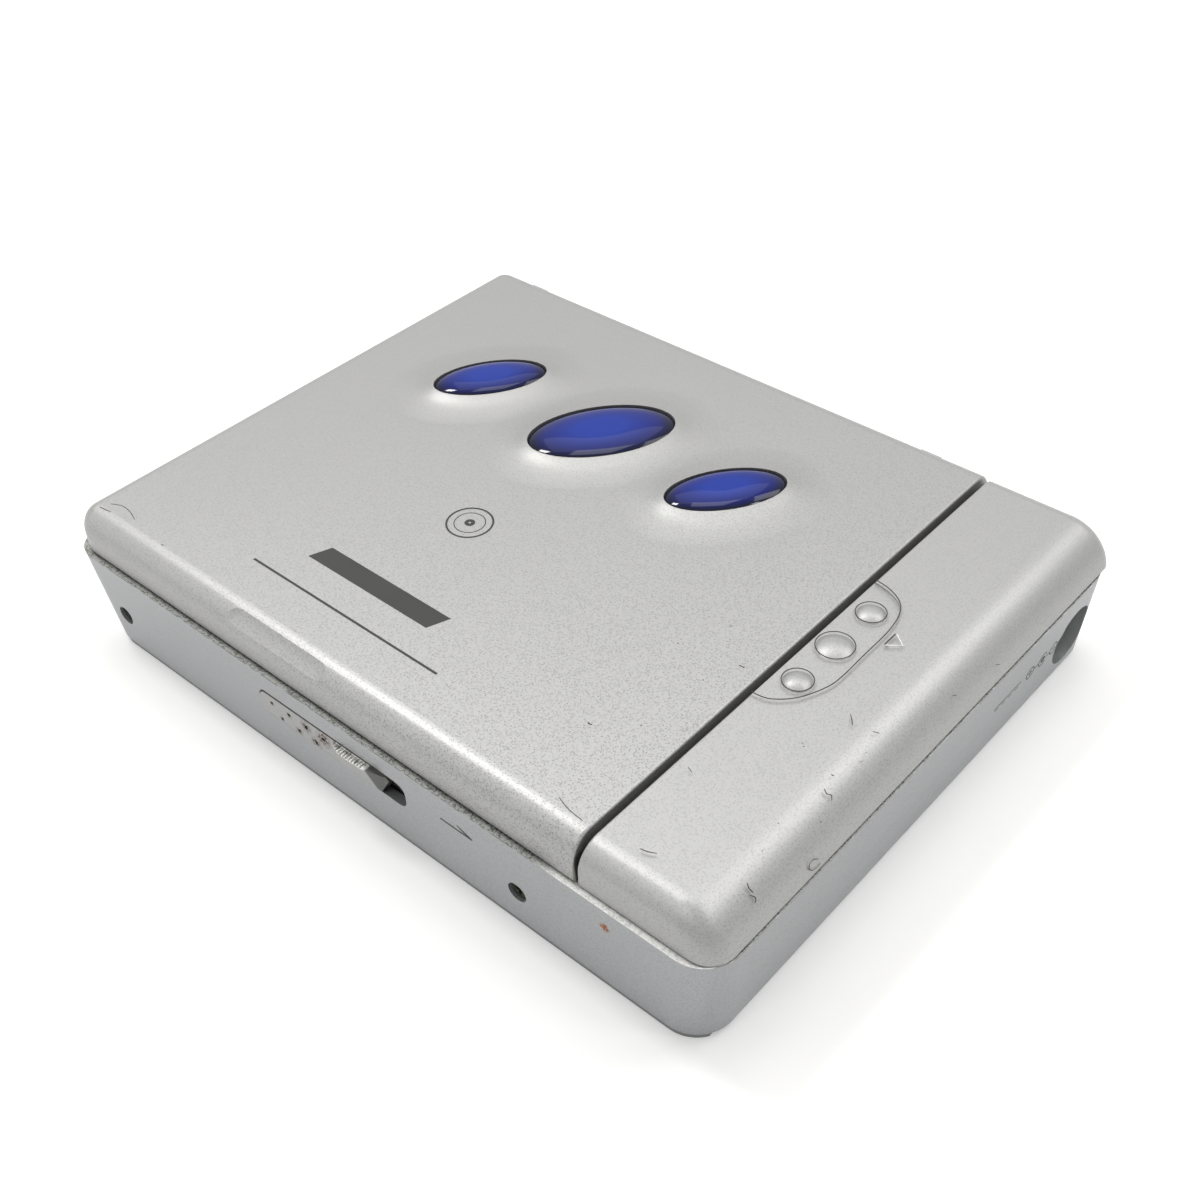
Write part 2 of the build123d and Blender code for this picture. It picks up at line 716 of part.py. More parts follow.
def dampers():
    """Rubber grommets that carry the deck on the frame's posts."""
    rings = Part()
    for x, y in damper_places():
        ring = bar_z(x, y, frame_top, deck_top + 0.35, damper_radius)
        ring -= bar_z(x, y, deck_z, deck_top, damper_radius + 1) - bar_z(x, y, deck_z, deck_top, damper_neck)
        rings += ring - bar_z(x, y, 0, deck_top + 1, shoulder_radius)
    return rings


def chassis_screws():
    screws = Part()
    for x, y in damper_places():
        head = bar_z(x, y, deck_top + 0.35, deck_top + 0.6, 1.6)
        head -= block(x - 1, x + 1, y - 0.2, y + 0.2, deck_top + 0.48, deck_top + 1)
        screws += head + bar_z(x, y, frame_top - shoulder_depth, deck_top + 0.36, shoulder_radius)
    return screws


def spindle_motor():
    can = Pos(disc_x, disc_y, board_top + 0.7) * Cylinder(motor_radius, deck_z - board_top - 1.2,
                                                         align=(Align.CENTER, Align.CENTER, Align.MIN))
    can = fillet(can.edges().sort_by(Axis.Z)[0], 0.6)
    can += plate(disc_x - 6.5, disc_x + 6.5, disc_y - motor_radius - 2, disc_y + motor_radius + 2,
                 deck_z - 0.5, deck_z, 2.0)
    return can - bar_z(disc_x, disc_y, board_top + 1.4, deck_z + 1, spindle_radius + running_fit)


def turntable():
    """Magnetic turntable with the cone that centres the disc's hub."""
    low = deck_top + 0.25
    with BuildPart() as table:
        with BuildSketch(Plane.XZ):
            with BuildLine():
                Polyline(
                    (0, board_top + 1.5),
                    (spindle_radius, board_top + 1.5),
                    (spindle_radius, low),
                    (turntable_radius, low),
                    (turntable_radius, cartridge_base + 0.6),
                    (turntable_radius - 1.0, cartridge_base + 0.6),
                    (turntable_radius - 1.2, cartridge_base),
                    (2.4, cartridge_base),
                    (1.95, cartridge_base + 0.9),
                    (1.3, cartridge_base + 1.4),
                    (0, cartridge_base + 1.4),
                    close=True,
                )
            make_face()
        revolve(axis=Axis.Z)
    return Pos(disc_x, disc_y, 0) * table.part


def guide_rods():
    rods = Part()
    for side in (-1, 1):
        rods += bar_x(rod_start, rod_end, disc_y + side * rod_offset, rod_z, rod_radius)
    return rods


def pickup_sled():
    x = disc_x + inner_track
    reach = rod_offset + 1.9
    body = plate(x - sled_half, x + sled_half, disc_y - reach, disc_y + reach, sled_low, sled_high, 1.2)
    body += bar_z(x, disc_y, sled_high, deck_top + 0.4, 2.7)
    body += block(x - 2, x + 2, screw_y + lead_radius + running_fit, disc_y - reach,
                  screw_z - 0.9, screw_z + 0.9)
    body -= bar_z(x, disc_y, deck_top - 0.2, deck_top + 1, 1.7)
    body -= block(x + 1.5, x + sled_half + 1, disc_y - 4, disc_y + 4, sled_low - 1, sled_low + 0.8)
    for side in (-1, 1):
        body -= bar_x(x - 2 * sled_half, x + 2 * sled_half, disc_y + side * rod_offset, rod_z,
                      rod_radius + running_fit)
    return body


def pickup_lens():
    x = disc_x + inner_track
    lens = bar_z(x, disc_y, deck_top - 0.2, deck_top + 0.5, 1.7)
    ball = Pos(x, disc_y, deck_top + 1.0 - 2.2) * Sphere(2.2)
    return lens + (ball & bar_z(x, disc_y, deck_top + 0.4, deck_top + 2, 1.35))


def lead_screw():
    """Screw that drives the sled, with its wheel at the motor's end."""
    shaft = bar_x(screw_left + bracket + 0.1, screw_right - bracket - 0.1, screw_y, screw_z, lead_radius)
    shaft += bar_x(gear_x, screw_right, screw_y, screw_z, journal)
    return shaft + Pos(gear_x, screw_y, screw_z) * spur(gear_teeth, gear_width, journal / 2)


def motor_pinion():
    """Pinion on the sled motor's shaft, turned half a tooth to mesh."""
    half_tooth = 180 / pinion_teeth
    wheel = Pos(gear_x, pinion_y, screw_z) * Rot(half_tooth, 0, 0) * spur(pinion_teeth, gear_width, 0.2)
    return wheel + bar_x(gear_x - 2.6, gear_x + gear_width, pinion_y, screw_z, pinion_shaft)


def sled_motor():
    x1 = gear_x - 0.6
    can = block(x1 - sled_motor_length, x1, pinion_y - 3.6, pinion_y + 3.6, board_top + 0.5, deck_z)
    can = fillet(can.edges().filter_by(Axis.X), 1.4)
    can += bar_x(x1 - sled_motor_length - 0.6, x1 - sled_motor_length, pinion_y, screw_z, 1.3)
    return can - bar_x(gear_x - 3.0, gear_x, pinion_y, screw_z, pinion_shaft + running_fit)


# ================================================================== boards and sockets
def main_board():
    inset = wall + fit_gap + frame_wall + 0.25
    board = tapered(inset, 0, 4)
    board = board & block(-case_length, wall_x - 0.3, -case_depth, case_depth, board_z, board_top)
    board += block(wall_x - 1, power_face - fit_gap, tongue_front, side_back(0) - inset, board_z, board_top)
    for x, y in damper_places():
        board -= bar_z(x, y, 0, deck_z, damper_radius + 0.3)
        if x > 0:
            board -= block(x, wall_x + 1, y - rib_half - 0.3, y + rib_half + 0.3, 0, deck_z)
    board -= block(gear_x - 0.5, gear_x + gear_width + 0.5, pinion_y - 2.2, screw_y + 3.8, 0, deck_z)
    return board


def board_parts():
    """Chips and capacitors on the main board."""
    parts = Part()
    for x, y, along_x, along_y, height in chip_places:
        parts += block(x - along_x / 2, x + along_x / 2, y - along_y / 2, y + along_y / 2,
                       board_top, board_top + height)
    for x, y, radius, height in can_places:
        parts += bar_z(x, y, board_top, board_top + height, radius)
    return parts


def side_switches():
    """Switch bodies on the board behind the volume keys and the hold switch."""
    face = side_back(key_z) - wall - key_flange_depth - key_travel - 0.35
    parts = Part()
    for x in (*volume_x, hold_x):
        parts += block(x - 2.6, x + 2.6, face - 2.6, face, board_top, key_z + 0.9)
    return parts


def side_key(x, stem):
    """A small key in the back wall, held by a flange inside."""
    inside = side_back(key_z) - wall - 0.1
    low, high = key_z - key_height / 2, key_z + key_height / 2
    pad = slot_y(x - key_width / 2, x + key_width / 2, inside - 0.2, side_back(key_z) + 0.55, low, high)
    pad = fillet(pad.faces().sort_by(Axis.Y)[-1].edges(), 0.4)
    pad += block(x - key_width / 2 - 0.7, x + key_width / 2 + 0.7, inside - key_flange_depth, inside,
                 low - 0.5, high + 0.5)
    return pad + block(x - stem, x + stem, inside - key_flange_depth - 0.2, inside, key_z - 0.8, key_z + 0.8)


def hold_switch():
    knob = side_key(hold_x, 1.0)
    for n in (-1, 0, 1):
        knob -= block(hold_x + n * 1.2 - 0.2, hold_x + n * 1.2 + 0.2, side_back(key_z) + 0.3,
                      side_back(key_z) + 1, key_z - 1.5, key_z + 1.5)
    return knob


def headphone_jack():
    mouth = side_back(phone_z)
    back = mouth - phone_depth - 0.8
    body = block(phone_x - 3, phone_x + 3, back, rail_back - 1.4, board_top, phone_z + 3.4)
    body += bar_y(phone_x, rail_back - 2, mouth - 0.1, phone_z, phone_nose)
    return body - bar_y(phone_x, mouth - phone_depth - 0.1, case_depth, phone_z, phone_bore)


def dc_jack():
    back = phone_x + 3.4
    body = block(back, power_face, power_y - 4.4, power_y + 4.2, board_top, power_z + 4.4)
    body += bar_x(power_face - 1, power_face + 1.2, power_y, power_z, power_sleeve)
    body -= bar_x(back + 1, power_face + 2, power_y, power_z, power_bore)
    return body + bar_x(back, power_face + 0.6, power_y, power_z, 0.6)


def battery_contacts():
    """The two sprung plates at the ends of the battery bay."""
    low, high = cell_z - 5.0, cell_z + 5.0
    parts = block(cell_x - 5, cell_x + 5, bay_front, bay_front + contact_thickness, low, high)
    dimple = Pos(cell_x, bay_front + contact_thickness - 1.6, cell_z) * Sphere(2.0)
    parts += dimple & block(cell_x - 3, cell_x + 3, bay_front + 0.1, bay_front + 2, low, high)
    parts += block(cell_x - 5, cell_x + 5, bay_back - contact_thickness, bay_back, low, high)
    for y in (bay_front, bay_back - contact_thickness):
        parts += block(cell_x - 1, cell_x + 1, y, y + contact_thickness, high - 0.1, high + 1.8)
    return parts


def battery_spring():
    """Coil on the contact plate that presses on the cell's flat end."""
    height = spring_length - 2 * coil_wire
    path = Helix(height / coil_turns, height, coil_radius)
    section = Plane(path @ 0, z_dir=path % 0) * RegularPolygon(coil_wire, 6)
    coil = sweep(section, path=path, is_frenet=True)
    return Pos(cell_x, bay_back - contact_thickness - coil_wire, cell_z) * Rot(90, 0, 0) * coil


# ================================================================== opener and latch
def open_slider():
    """Plate that fills the slot. Its right half swells into the thumb grip, most at the top edge."""
    face = side_front(slot_high) - 0.02
    body = bar_rounded(plate_left, plate_right, face, bar_front, plate_low, plate_high, plate_corner)
    sections = []
    for z, height, slope, end in (
        (plate_low + 0.1, grip_foot, grip_slope_low, plate_right - plate_slant),
        (plate_high - 0.1, grip_height, grip_slope_high, plate_right - plate_corner / 2),
    ):
        outline = (
            (grip_left, face),
            (grip_left + 0.45 * grip_ramp, face - 0.7 * height),
            (grip_left + grip_ramp, face - height),
            (slope, face - 0.85 * height),
            (end, face),
            (end, face + 0.2),
            (grip_left, face + 0.2),
        )
        sections.append(Pos(0, 0, z) * make_face(Polyline(*outline, close=True)))
    body += loft(sections, ruled=True)
    slant = Polyline(
        (plate_right, plate_high),
        (plate_right + 1, plate_high),
        (plate_right + 1, plate_low - 1),
        (plate_right - plate_slant, plate_low),
        close=True,
    )
    body -= extrude(Plane.XZ * make_face(slant), case_depth, both=True)
    for n in range(rib_count):
        x = grip_left + 0.4 * grip_ramp + n * rib_pitch
        body -= block(x, x + rib_pitch / 2, face - 2 * grip_height, face, plate_high - 0.35, plate_high)
    for n in range(4):
        body -= dimple(dimple_left + n * dimple_pitch, dimple_row + dimple_spread, face)
    for n in range(3):
        body -= dimple(dimple_left + (n + 0.5) * dimple_pitch, dimple_row - dimple_spread, face)
    return body


def dimple(x, z, face):
    return block(x - dimple_half, x + dimple_half, face - 1, face + 0.35, z - dimple_half, z + dimple_half)


def latch_bar():
    """Flat steel bar behind the opener with two hooks, and an ear for the spring."""
    left = disc_x - catch_offset - 5.0
    right = spring_stop - spring_span
    bar = block(left, right, bar_front, bar_back, plate_low, plate_high)
    for side in (-1, 1):
        x = disc_x + side * catch_offset
        bar += block(x + 2.6, x + 4.0, bar_front, bar_back, plate_high, hook_z + 0.9)
        bar += block(x + 0.2, x + 4.0, bar_front, bar_back, hook_z, hook_z + 0.9)
    return bar + block(right - 0.5, right, bar_front, spring_y + 0.8, spring_z - 0.9, spring_z + 0.9)


def slider_spring():
    """Return spring between the latch bar's ear and the frame."""
    start = spring_stop - spring_span
    length = spring_stop - start - 0.3
    path = Helix(length / 6, length, 0.5)
    section = Plane(path @ 0, z_dir=path % 0) * RegularPolygon(0.11, 4)
    coil = sweep(section, path=path, is_frenet=True)
    return Pos(start + 0.15, spring_y, spring_z) * Rot(0, 90, 0) * coil


def lid_catches():
    """Two bent steel catches under the lid's front edge."""
    catch_back = bar_back + 0.8
    parts = Part()
    for side in (-1, 1):
        x = disc_x + side * catch_offset
        leg = block(x - 2, x + 2, catch_back - 0.5, catch_back, hook_z - 1.0, liner_z)
        leg += block(x - 2, x + 2, bar_back + 0.2, catch_back - 0.4, hook_z - 1.0, hook_z - 0.4)
        leg += block(x - 2, x + 2, catch_back - 0.5, holder_front - 0.3, liner_z - 0.4, liner_z)
        parts += leg
    return parts


# ================================================================== lid's inside
def lid_liner():
    """Flat cover that closes the lid from below."""
    left = lid_left + wall + fit_gap
    right = seam_at(liner_z, wall) - fit_gap
    back = hinge_y - roll_radius - 0.2
    liner = plate(left, right, lid_front + wall + fit_gap, back, liner_z, liner_z + liner_thickness, 1.6)
    for x, y in liner_screw_places():
        liner -= bar_z(x, y, 0, liner_z + liner_head_depth, liner_head + 0.1)
        liner -= bar_z(x, y, 0, lid_top, liner_screw_radius + 0.1)
    return liner


def liner_screws():
    screws = Part()
    for x, y in liner_screw_places():
        head = bar_z(x, y, liner_z + 0.02, liner_z + liner_head_depth, liner_head)
        screws += head + bar_z(x, y, liner_z + 0.1, liner_z + liner_screw_length, liner_screw_radius)
    return screws


def key_board():
    x0 = button_places["left_button"][0] - 9
    x1 = button_places["right_button"][0] + 9
    y = button_places["middle_button"][1]
    return plate(x0, x1, y - 8, y + 8, liner_z + liner_thickness, key_board_top, 2.0)


def dome_switches():
    domes = Part()
    for x, y, half in button_places.values():
        sphere = (dome_radius ** 2 + dome_rise ** 2) / (2 * dome_rise)
        ball = Pos(x, y, key_board_top + dome_rise - sphere) * Sphere(sphere)
        domes += ball & bar_z(x, y, key_board_top, key_board_top + 1, dome_radius)
    return domes


def button(x, y, half):
    """A gel-like key: crowned oval top, flange under the lid, stem on its dome switch."""
    flange_top = lid_under - 0.06
    crown = oval(x, y, half, 0, flange_top - 0.2, lid_top + button_rise)
    crown = fillet(crown.faces().sort_by(Axis.Z)[-1].edges(), button_rise * 0.8)
    crown += oval(x, y, half, key_flange, flange_top - 0.7, flange_top)
    return crown + bar_z(x, y, key_board_top + dome_rise + 0.03, flange_top - 0.5, 1.2)


# ================================================================== hinge and disc holder
def hinge_pins():
    pins = Part()
    for x0, x1 in both_sides(knuckle_inner + 0.3, post_outer - 0.3):
        pins += hinge_bar(x0, x1, pin_radius)
    return pins


def disc_holder():
    """Bent-up steel tray, open at the front, that carries the disc in its cartridge."""
    x0, x1 = disc_x - holder_half, disc_x + holder_half
    tray = block(x0, x1, holder_front, holder_back, holder_base, holder_top)
    tray -= block(x0 + sheet, x1 - sheet, holder_front - 1, holder_back - sheet,
                  holder_base + sheet, holder_top - sheet)
    tray -= block(x0 + holder_flange, x1 - holder_flange, holder_front - 1, holder_back + 1,
                  holder_base - 1, holder_base + sheet + 0.01)

    # thumb notch at the front, corners cut back behind
    tray -= Pos(disc_x, holder_front - 7, holder_top) * Cylinder(16, 2)
    tray -= block(x0 - 1, x0 + 12, holder_back - sheet - 0.1, holder_back + 1, 0, holder_top - sheet - 0.01)
    tray -= block(x1 - 12, x1 + 1, holder_back - sheet - 0.1, holder_back + 1, 0, holder_top - sheet - 0.01)

    # pressed tongues that hold the cartridge down
    for side in (-1, 1):
        x = disc_x + side * 22
        frame = plate(x - 3.2, x + 3.2, -20, 12, holder_top - sheet - 0.1, holder_top + 0.1, 1.0)
        tongue = plate(x - 2.2, x + 2.2, -19, 13, holder_top - sheet - 0.2, holder_top + 0.2, 1.0)
        tray -= frame - tongue

    # ears on the hinge pins
    for a, b in both_sides(ear_inner, holder_half):
        ear = hinge_bar(a, b, 1.6)
        ear += block(a, b, holder_back - 1, hinge_y, hinge_z - 1.6, hinge_z + 0.7)
        tray += ear
        tray -= hinge_bar(a - 1, b + 1, pin_radius + running_fit)
    return tray


# ================================================================== screws
def side_screws():
    """Cross-head screws, sunk in the front and back walls."""
    screws = Part()
    for x in side_screw_x:
        for sign, seat in ((-1, side_front(side_screw_z) + wall - side_seat),
                           (1, side_back(side_screw_z) - wall + side_seat)):
            outer = seat + sign * 0.45
            head = bar_y(x, min(seat, outer), max(seat, outer), side_screw_z, side_head)
            for turn in (0, 90):
                head -= Pos(x, outer, side_screw_z) * Rot(0, turn, 0) * Box(1.4, 0.5, 0.34)
            inner = seat - sign * 2.6
            screws += head + bar_y(x, min(seat, inner), max(seat, inner), side_screw_z, screw_shank)
    return screws


nodes = {
    "lower_shell": lower_shell(),
    "inner_frame": inner_frame(),
    "chassis_plate": chassis_plate(),
    "dampers": dampers(),
    "chassis_screws": chassis_screws(),
    "spindle_motor": spindle_motor(),
    "turntable": turntable(),
    "guide_rods": guide_rods(),
    "pickup_sled": pickup_sled(),
    "pickup_lens": pickup_lens(),
    "lead_screw": lead_screw(),
    "motor_pinion": motor_pinion(),
    "sled_motor": sled_motor(),
    "main_board": main_board(),
    "board_parts": board_parts(),
    "side_switches": side_switches(),
    "volume_up_key": side_key(volume_x[0], 0.8),
    "volume_down_key": side_key(volume_x[1], 0.8),
    "hold_switch": hold_switch(),
    "headphone_jack": headphone_jack(),
    "dc_jack": dc_jack(),
    "battery_contacts": battery_contacts(),
    "battery_spring": battery_spring(),
    "hinge_pins": hinge_pins(),
    "side_screws": side_screws(),
    "lid_shell": lid_shell(),
    "lid_liner": lid_liner(),
    "liner_screws": liner_screws(),
    "lid_catches": lid_catches(),
    "key_board": key_board(),
    "dome_switches": dome_switches(),
    "disc_holder": disc_holder(),
    "battery_door": battery_door(),
    "open_slider": open_slider(),
    "latch_bar": latch_bar(),
    "slider_spring": slider_spring(),
}
for name, (x, y, half) in button_places.items():
    nodes[name] = button(x, y, half)

for name, shape in nodes.items():
    export_step(shape, f"parts/{name}.step")
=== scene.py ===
# %% [markdown]
# # A pocket disc player, dressed for its portrait
#
# The real thing is a palm-sized player in satin silver paint, with three blue keys like drops
# of gel, a sliding opener in its front wall and a battery door with a thumb grip. The solid
# parts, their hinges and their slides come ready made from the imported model. This lesson adds
# what a maker would call the finish: the soft swelling round the keys, the keys themselves,
# printed marks, paint, wear, floor and light. Everything is in metres, in the model's frame.

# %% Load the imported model
import json
import math

import bmesh
import bpy
from mathutils import Matrix, Vector


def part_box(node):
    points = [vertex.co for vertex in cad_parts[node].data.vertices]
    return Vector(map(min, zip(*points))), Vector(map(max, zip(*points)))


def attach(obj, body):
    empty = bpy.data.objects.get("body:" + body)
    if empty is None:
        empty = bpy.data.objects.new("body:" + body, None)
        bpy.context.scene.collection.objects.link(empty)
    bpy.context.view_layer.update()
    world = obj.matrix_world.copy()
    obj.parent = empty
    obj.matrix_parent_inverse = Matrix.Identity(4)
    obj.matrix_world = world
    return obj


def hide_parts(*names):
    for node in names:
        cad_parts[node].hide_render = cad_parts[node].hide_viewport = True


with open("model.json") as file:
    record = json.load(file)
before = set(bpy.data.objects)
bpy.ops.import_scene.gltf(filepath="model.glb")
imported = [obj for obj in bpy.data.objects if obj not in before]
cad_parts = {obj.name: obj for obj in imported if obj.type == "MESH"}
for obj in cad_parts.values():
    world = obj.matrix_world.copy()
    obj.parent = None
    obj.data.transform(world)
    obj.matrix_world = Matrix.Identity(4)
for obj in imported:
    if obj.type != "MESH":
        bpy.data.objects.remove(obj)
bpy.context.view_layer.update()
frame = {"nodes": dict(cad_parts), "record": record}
nodes = frame["nodes"]
MM = 0.001

# %% [markdown]
# ## Small helpers
#
# Each new piece is a mesh made from a list of corners and faces. One helper turns such lists
# into an object, rides it on the body that carries it and names the finish it takes. A second
# one shades a mesh smoothly but keeps its sharp folds sharp, which is what a moulding does.

# %% Helpers that make a piece
def make_piece(name, verts, faces, body, material, replaced=()):
    mesh = bpy.data.meshes.new(name)
    mesh.from_pydata(verts, [], faces)
    mesh.validate()
    mesh.update()
    mesh.materials.append(material)
    piece = bpy.data.objects.new(name, mesh)
    bpy.context.scene.collection.objects.link(piece)
    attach(piece, body)
    if replaced:
        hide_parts(*replaced)
    return piece


def shade(piece, degrees):
    piece.data.shade_smooth()
    piece.data.set_sharp_from_angle(angle=math.radians(degrees))


LID_TOP = 18.65
DOOR_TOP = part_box("battery_door")[1].z / MM
print("door top at", round(DOOR_TOP, 2), "mm")

# %% [markdown]
# ## Shader groups shared by several finishes
#
# Silver paint on plastic is full of fine aluminium flakes, so it sparkles from grain to grain.
# Scratches, pits and stains turn up on every outer part. Each of these effects is one node
# group with named inputs, built once here and placed in each material with its own values. A
# group hands out only masks, tones and heights, never a whole shader.

# %% A small builder for node trees
class Wiring:
    """Adds nodes to a tree and joins them, with less typing."""

    def __init__(self, tree):
        self.tree = tree

    def add(self, kind, settings=None, **inputs):
        node = self.tree.nodes.new(kind)
        for key, value in (settings or {}).items():
            setattr(node, key, value)
        for key, value in inputs.items():
            self.feed(node, key, value)
        return node

    def feed(self, node, key, value):
        by_number = key[0] == "_" and key[1:].isdigit()
        socket = node.inputs[int(key[1:])] if by_number else node.inputs[key.replace("__", " ")]
        if isinstance(value, bpy.types.NodeSocket):
            self.link(value, socket)
        else:
            socket.default_value = value

    def link(self, source, target):
        self.tree.links.new(source, target)

    def math(self, operation, a, b=0.0, clamp=False):
        settings = {"operation": operation, "use_clamp": clamp}
        return self.add("ShaderNodeMath", settings, _0=a, _1=b).outputs[0]

    def times(self, product, *others, clamp=False):
        """Multiplies from left to right; only the last product is held within 0 and 1."""
        for n, value in enumerate(others):
            product = self.math("MULTIPLY", product, value, clamp and n == len(others) - 1)
        return product

    def remap(self, value, low, high, to_low=0.0, to_high=1.0):
        node = self.add("ShaderNodeMapRange", {"clamp": True}, Value=value)
        for key, v in (("From Min", low), ("From Max", high), ("To Min", to_low), ("To Max", to_high)):
            self.feed(node, key, v)
        return node.outputs[0]

    def noise(self, coords, scale, detail=2.0):
        node = self.add("ShaderNodeTexNoise", Vector=coords, Scale=scale, Detail=detail, Roughness=0.5)
        return node.outputs["Fac"]

    def split(self, coords):
        return self.add("ShaderNodeSeparateXYZ", Vector=coords).outputs

    def mix(self, factor, first, second):
        """Blends two colours; either may be a socket or three numbers."""
        node = self.add("ShaderNodeMix", {"data_type": "RGBA"}, Factor=factor)
        for slot, colour in ((6, first), (7, second)):
            if isinstance(colour, bpy.types.NodeSocket):
                self.link(colour, node.inputs[slot])
            else:
                node.inputs[slot].default_value = (*colour, 1.0)
        return node.outputs[2]


def new_group(name, inputs, outputs):
    """An empty group; an input's default of None makes it a vector, and outputs are floats."""
    group = bpy.data.node_groups.new(name, "ShaderNodeTree")
    for label, default in inputs:
        kind = "NodeSocketVector" if default is None else "NodeSocketFloat"
        socket = group.interface.new_socket(name=label, in_out="INPUT", socket_type=kind)
        if default is not None:
            socket.default_value = default
    for label in outputs:
        group.interface.new_socket(name=label, in_out="OUTPUT", socket_type="NodeSocketFloat")
    start = group.nodes.new("NodeGroupInput")
    end = group.nodes.new("NodeGroupOutput")
    return group, Wiring(group), start.outputs, end.inputs


print("node builder ready")

# %% [markdown]
# The paint is a smooth silver with dark pin-pricks between its flakes, about a quarter of a
# millimetre apart. A cell pattern gives one prick to a cell, each with its own depth. They show
# most at the player's front right corner, where the paint is thinnest, and only faintly at the
# far corner. The group takes the strength at the far corner as an input of its own.

# %% The flake group: fine grain of metallic paint
PRICK_CORE, PRICK_EDGE = 0.12, 0.58     # full depth within the first, none beyond the second
SHALLOWEST = 0.3                        # depth of the shallowest prick; the deepest is 1.3
BETWEEN_PRICKS = 0.24                   # how much brighter the paint is between them
FAR_SIDE, NEAR_SIDE = -0.045, 0.055     # x minus y where the grain is faintest and strongest
flake_group, w, inp, out = new_group(
    "paint_flake",
    [("Coords", None), ("Grain", 4300.0), ("Contrast", 0.4), ("Far", 0.2), ("Cloud", 0.03)],
    ["Shade", "Height"],
)
cells = w.add("ShaderNodeTexVoronoi", {"feature": "F1"}, Vector=inp["Coords"], Scale=inp["Grain"])
tints = w.add("ShaderNodeSeparateColor", Color=cells.outputs["Color"]).outputs
axes = w.split(inp["Coords"])
nearness = w.remap(w.math("SUBTRACT", axes[0], axes[1]), FAR_SIDE, NEAR_SIDE)
fade = w.math("ADD", w.times(nearness, w.math("SUBTRACT", 1.0, inp["Far"])), inp["Far"])
prick = w.remap(cells.outputs["Distance"], PRICK_CORE, PRICK_EDGE, 1.0, 0.0)
depth = w.times(prick, w.math("ADD", tints[0], SHALLOWEST))
grain = w.times(w.math("SUBTRACT", BETWEEN_PRICKS, depth), inp["Contrast"], fade)
cloud = w.times(w.math("SUBTRACT", w.noise(inp["Coords"], 60.0, 3.0), 0.5), inp["Cloud"])
w.link(w.math("ADD", w.math("ADD", grain, cloud), 1.0), out["Shade"])
w.link(w.times(w.math("SUBTRACT", 1.0, prick), fade), out["Height"])
print("group:", flake_group.name)

# %% [markdown]
# Scratches are long thin lines that lie in bunches. Noise stretched some thirty-five times along
# one direction gives such lines. A second, broad noise says where on the part they occur, so
# most of the surface stays clean.

# %% The scratch group
scratch_group, w, inp, out = new_group(
    "fine_scratches", [("Coords", None), ("Angle", 0.4), ("Amount", 0.5)], ["Mask"])
turned = w.add("ShaderNodeVectorRotate", {"rotation_type": "Z_AXIS"},
               Vector=inp["Coords"], Angle=inp["Angle"])
long_way = w.add("ShaderNodeMapping", {"vector_type": "POINT"}, Vector=turned.outputs[0])
long_way.inputs["Scale"].default_value = (90.0, 3200.0, 3200.0)
lines = w.remap(w.noise(long_way.outputs[0], 1.0, 1.0), 0.72, 0.78)
where = w.remap(w.noise(inp["Coords"], 45.0, 2.0), 0.55, 0.70)
w.link(w.times(lines, where, inp["Amount"], clamp=True), out["Mask"])
print("group:", scratch_group.name)

# %% [markdown]
# Pits and settled dust are specks about a quarter of a millimetre wide, far apart. They could be
# placed by hand, but a cell pattern that keeps one cell in twenty-five scatters them on any part.

# %% The specks group
speck_group, w, inp, out = new_group("paint_specks", [("Coords", None), ("Density", 0.5)], ["Mask"])
spots = w.add("ShaderNodeTexVoronoi", {"feature": "F1"}, Vector=inp["Coords"], Scale=520.0)
near = w.remap(spots.outputs["Distance"], 0.05, 0.09, 1.0, 0.0)
parts = w.add("ShaderNodeSeparateColor", Color=spots.outputs["Color"]).outputs
few = w.math("GREATER_THAN", parts[2], 0.96)
w.link(w.times(near, few, inp["Density"], clamp=True), out["Mask"])
print("group:", speck_group.name)

# %% [markdown]
# Rust and grime sit in one place each. The stain group gives a patch round a point, broken up
# by noise so that its edge is ragged. The band group gives a stripe between two heights along
# any axis, for edges that are worn bright or hold a line of dirt.

# %% The stain and band groups
stain_group, w, inp, out = new_group(
    "ragged_stain", [("Coords", None), ("Centre", None), ("Reach", 0.001), ("Amount", 1.0)], ["Mask"])
gap = w.add("ShaderNodeVectorMath", {"operation": "DISTANCE"}, _0=inp["Coords"], _1=inp["Centre"])
inside = w.math("SUBTRACT", 1.0, w.math("DIVIDE", gap.outputs["Value"], inp["Reach"]), True)
patchy = w.remap(w.noise(inp["Coords"], 2600.0, 3.0), 0.38, 0.58)
w.link(w.times(inside, patchy, inp["Amount"], clamp=True), out["Mask"])

band_group, w, inp, out = new_group(
    "edge_band", [("Value", 0.0), ("Low", 0.0), ("High", 0.001), ("Soft", 0.00005)], ["Mask"])
rise = w.math("DIVIDE", w.math("SUBTRACT", inp["Value"], inp["Low"]), inp["Soft"], True)
fall = w.math("DIVIDE", w.math("SUBTRACT", inp["High"], inp["Value"]), inp["Soft"], True)
w.link(w.times(rise, fall), out["Mask"])
print("groups:", stain_group.name, band_group.name)

# %% [markdown]
# Mouldings keep the fine spark-eroded texture of their tool, and rolled or turned metal keeps
# a streak along the way it was worked. These two groups serve the parts inside.

# %% The mould grain and brushed streak groups
mould_group, w, inp, out = new_group(
    "mould_grain", [("Coords", None), ("Grain", 2200.0)], ["Shade", "Height"])
w.link(w.remap(w.noise(inp["Coords"], 120.0, 2.0), 0.3, 0.7, 0.9, 1.1), out["Shade"])
w.link(w.noise(inp["Coords"], inp["Grain"], 3.0), out["Height"])

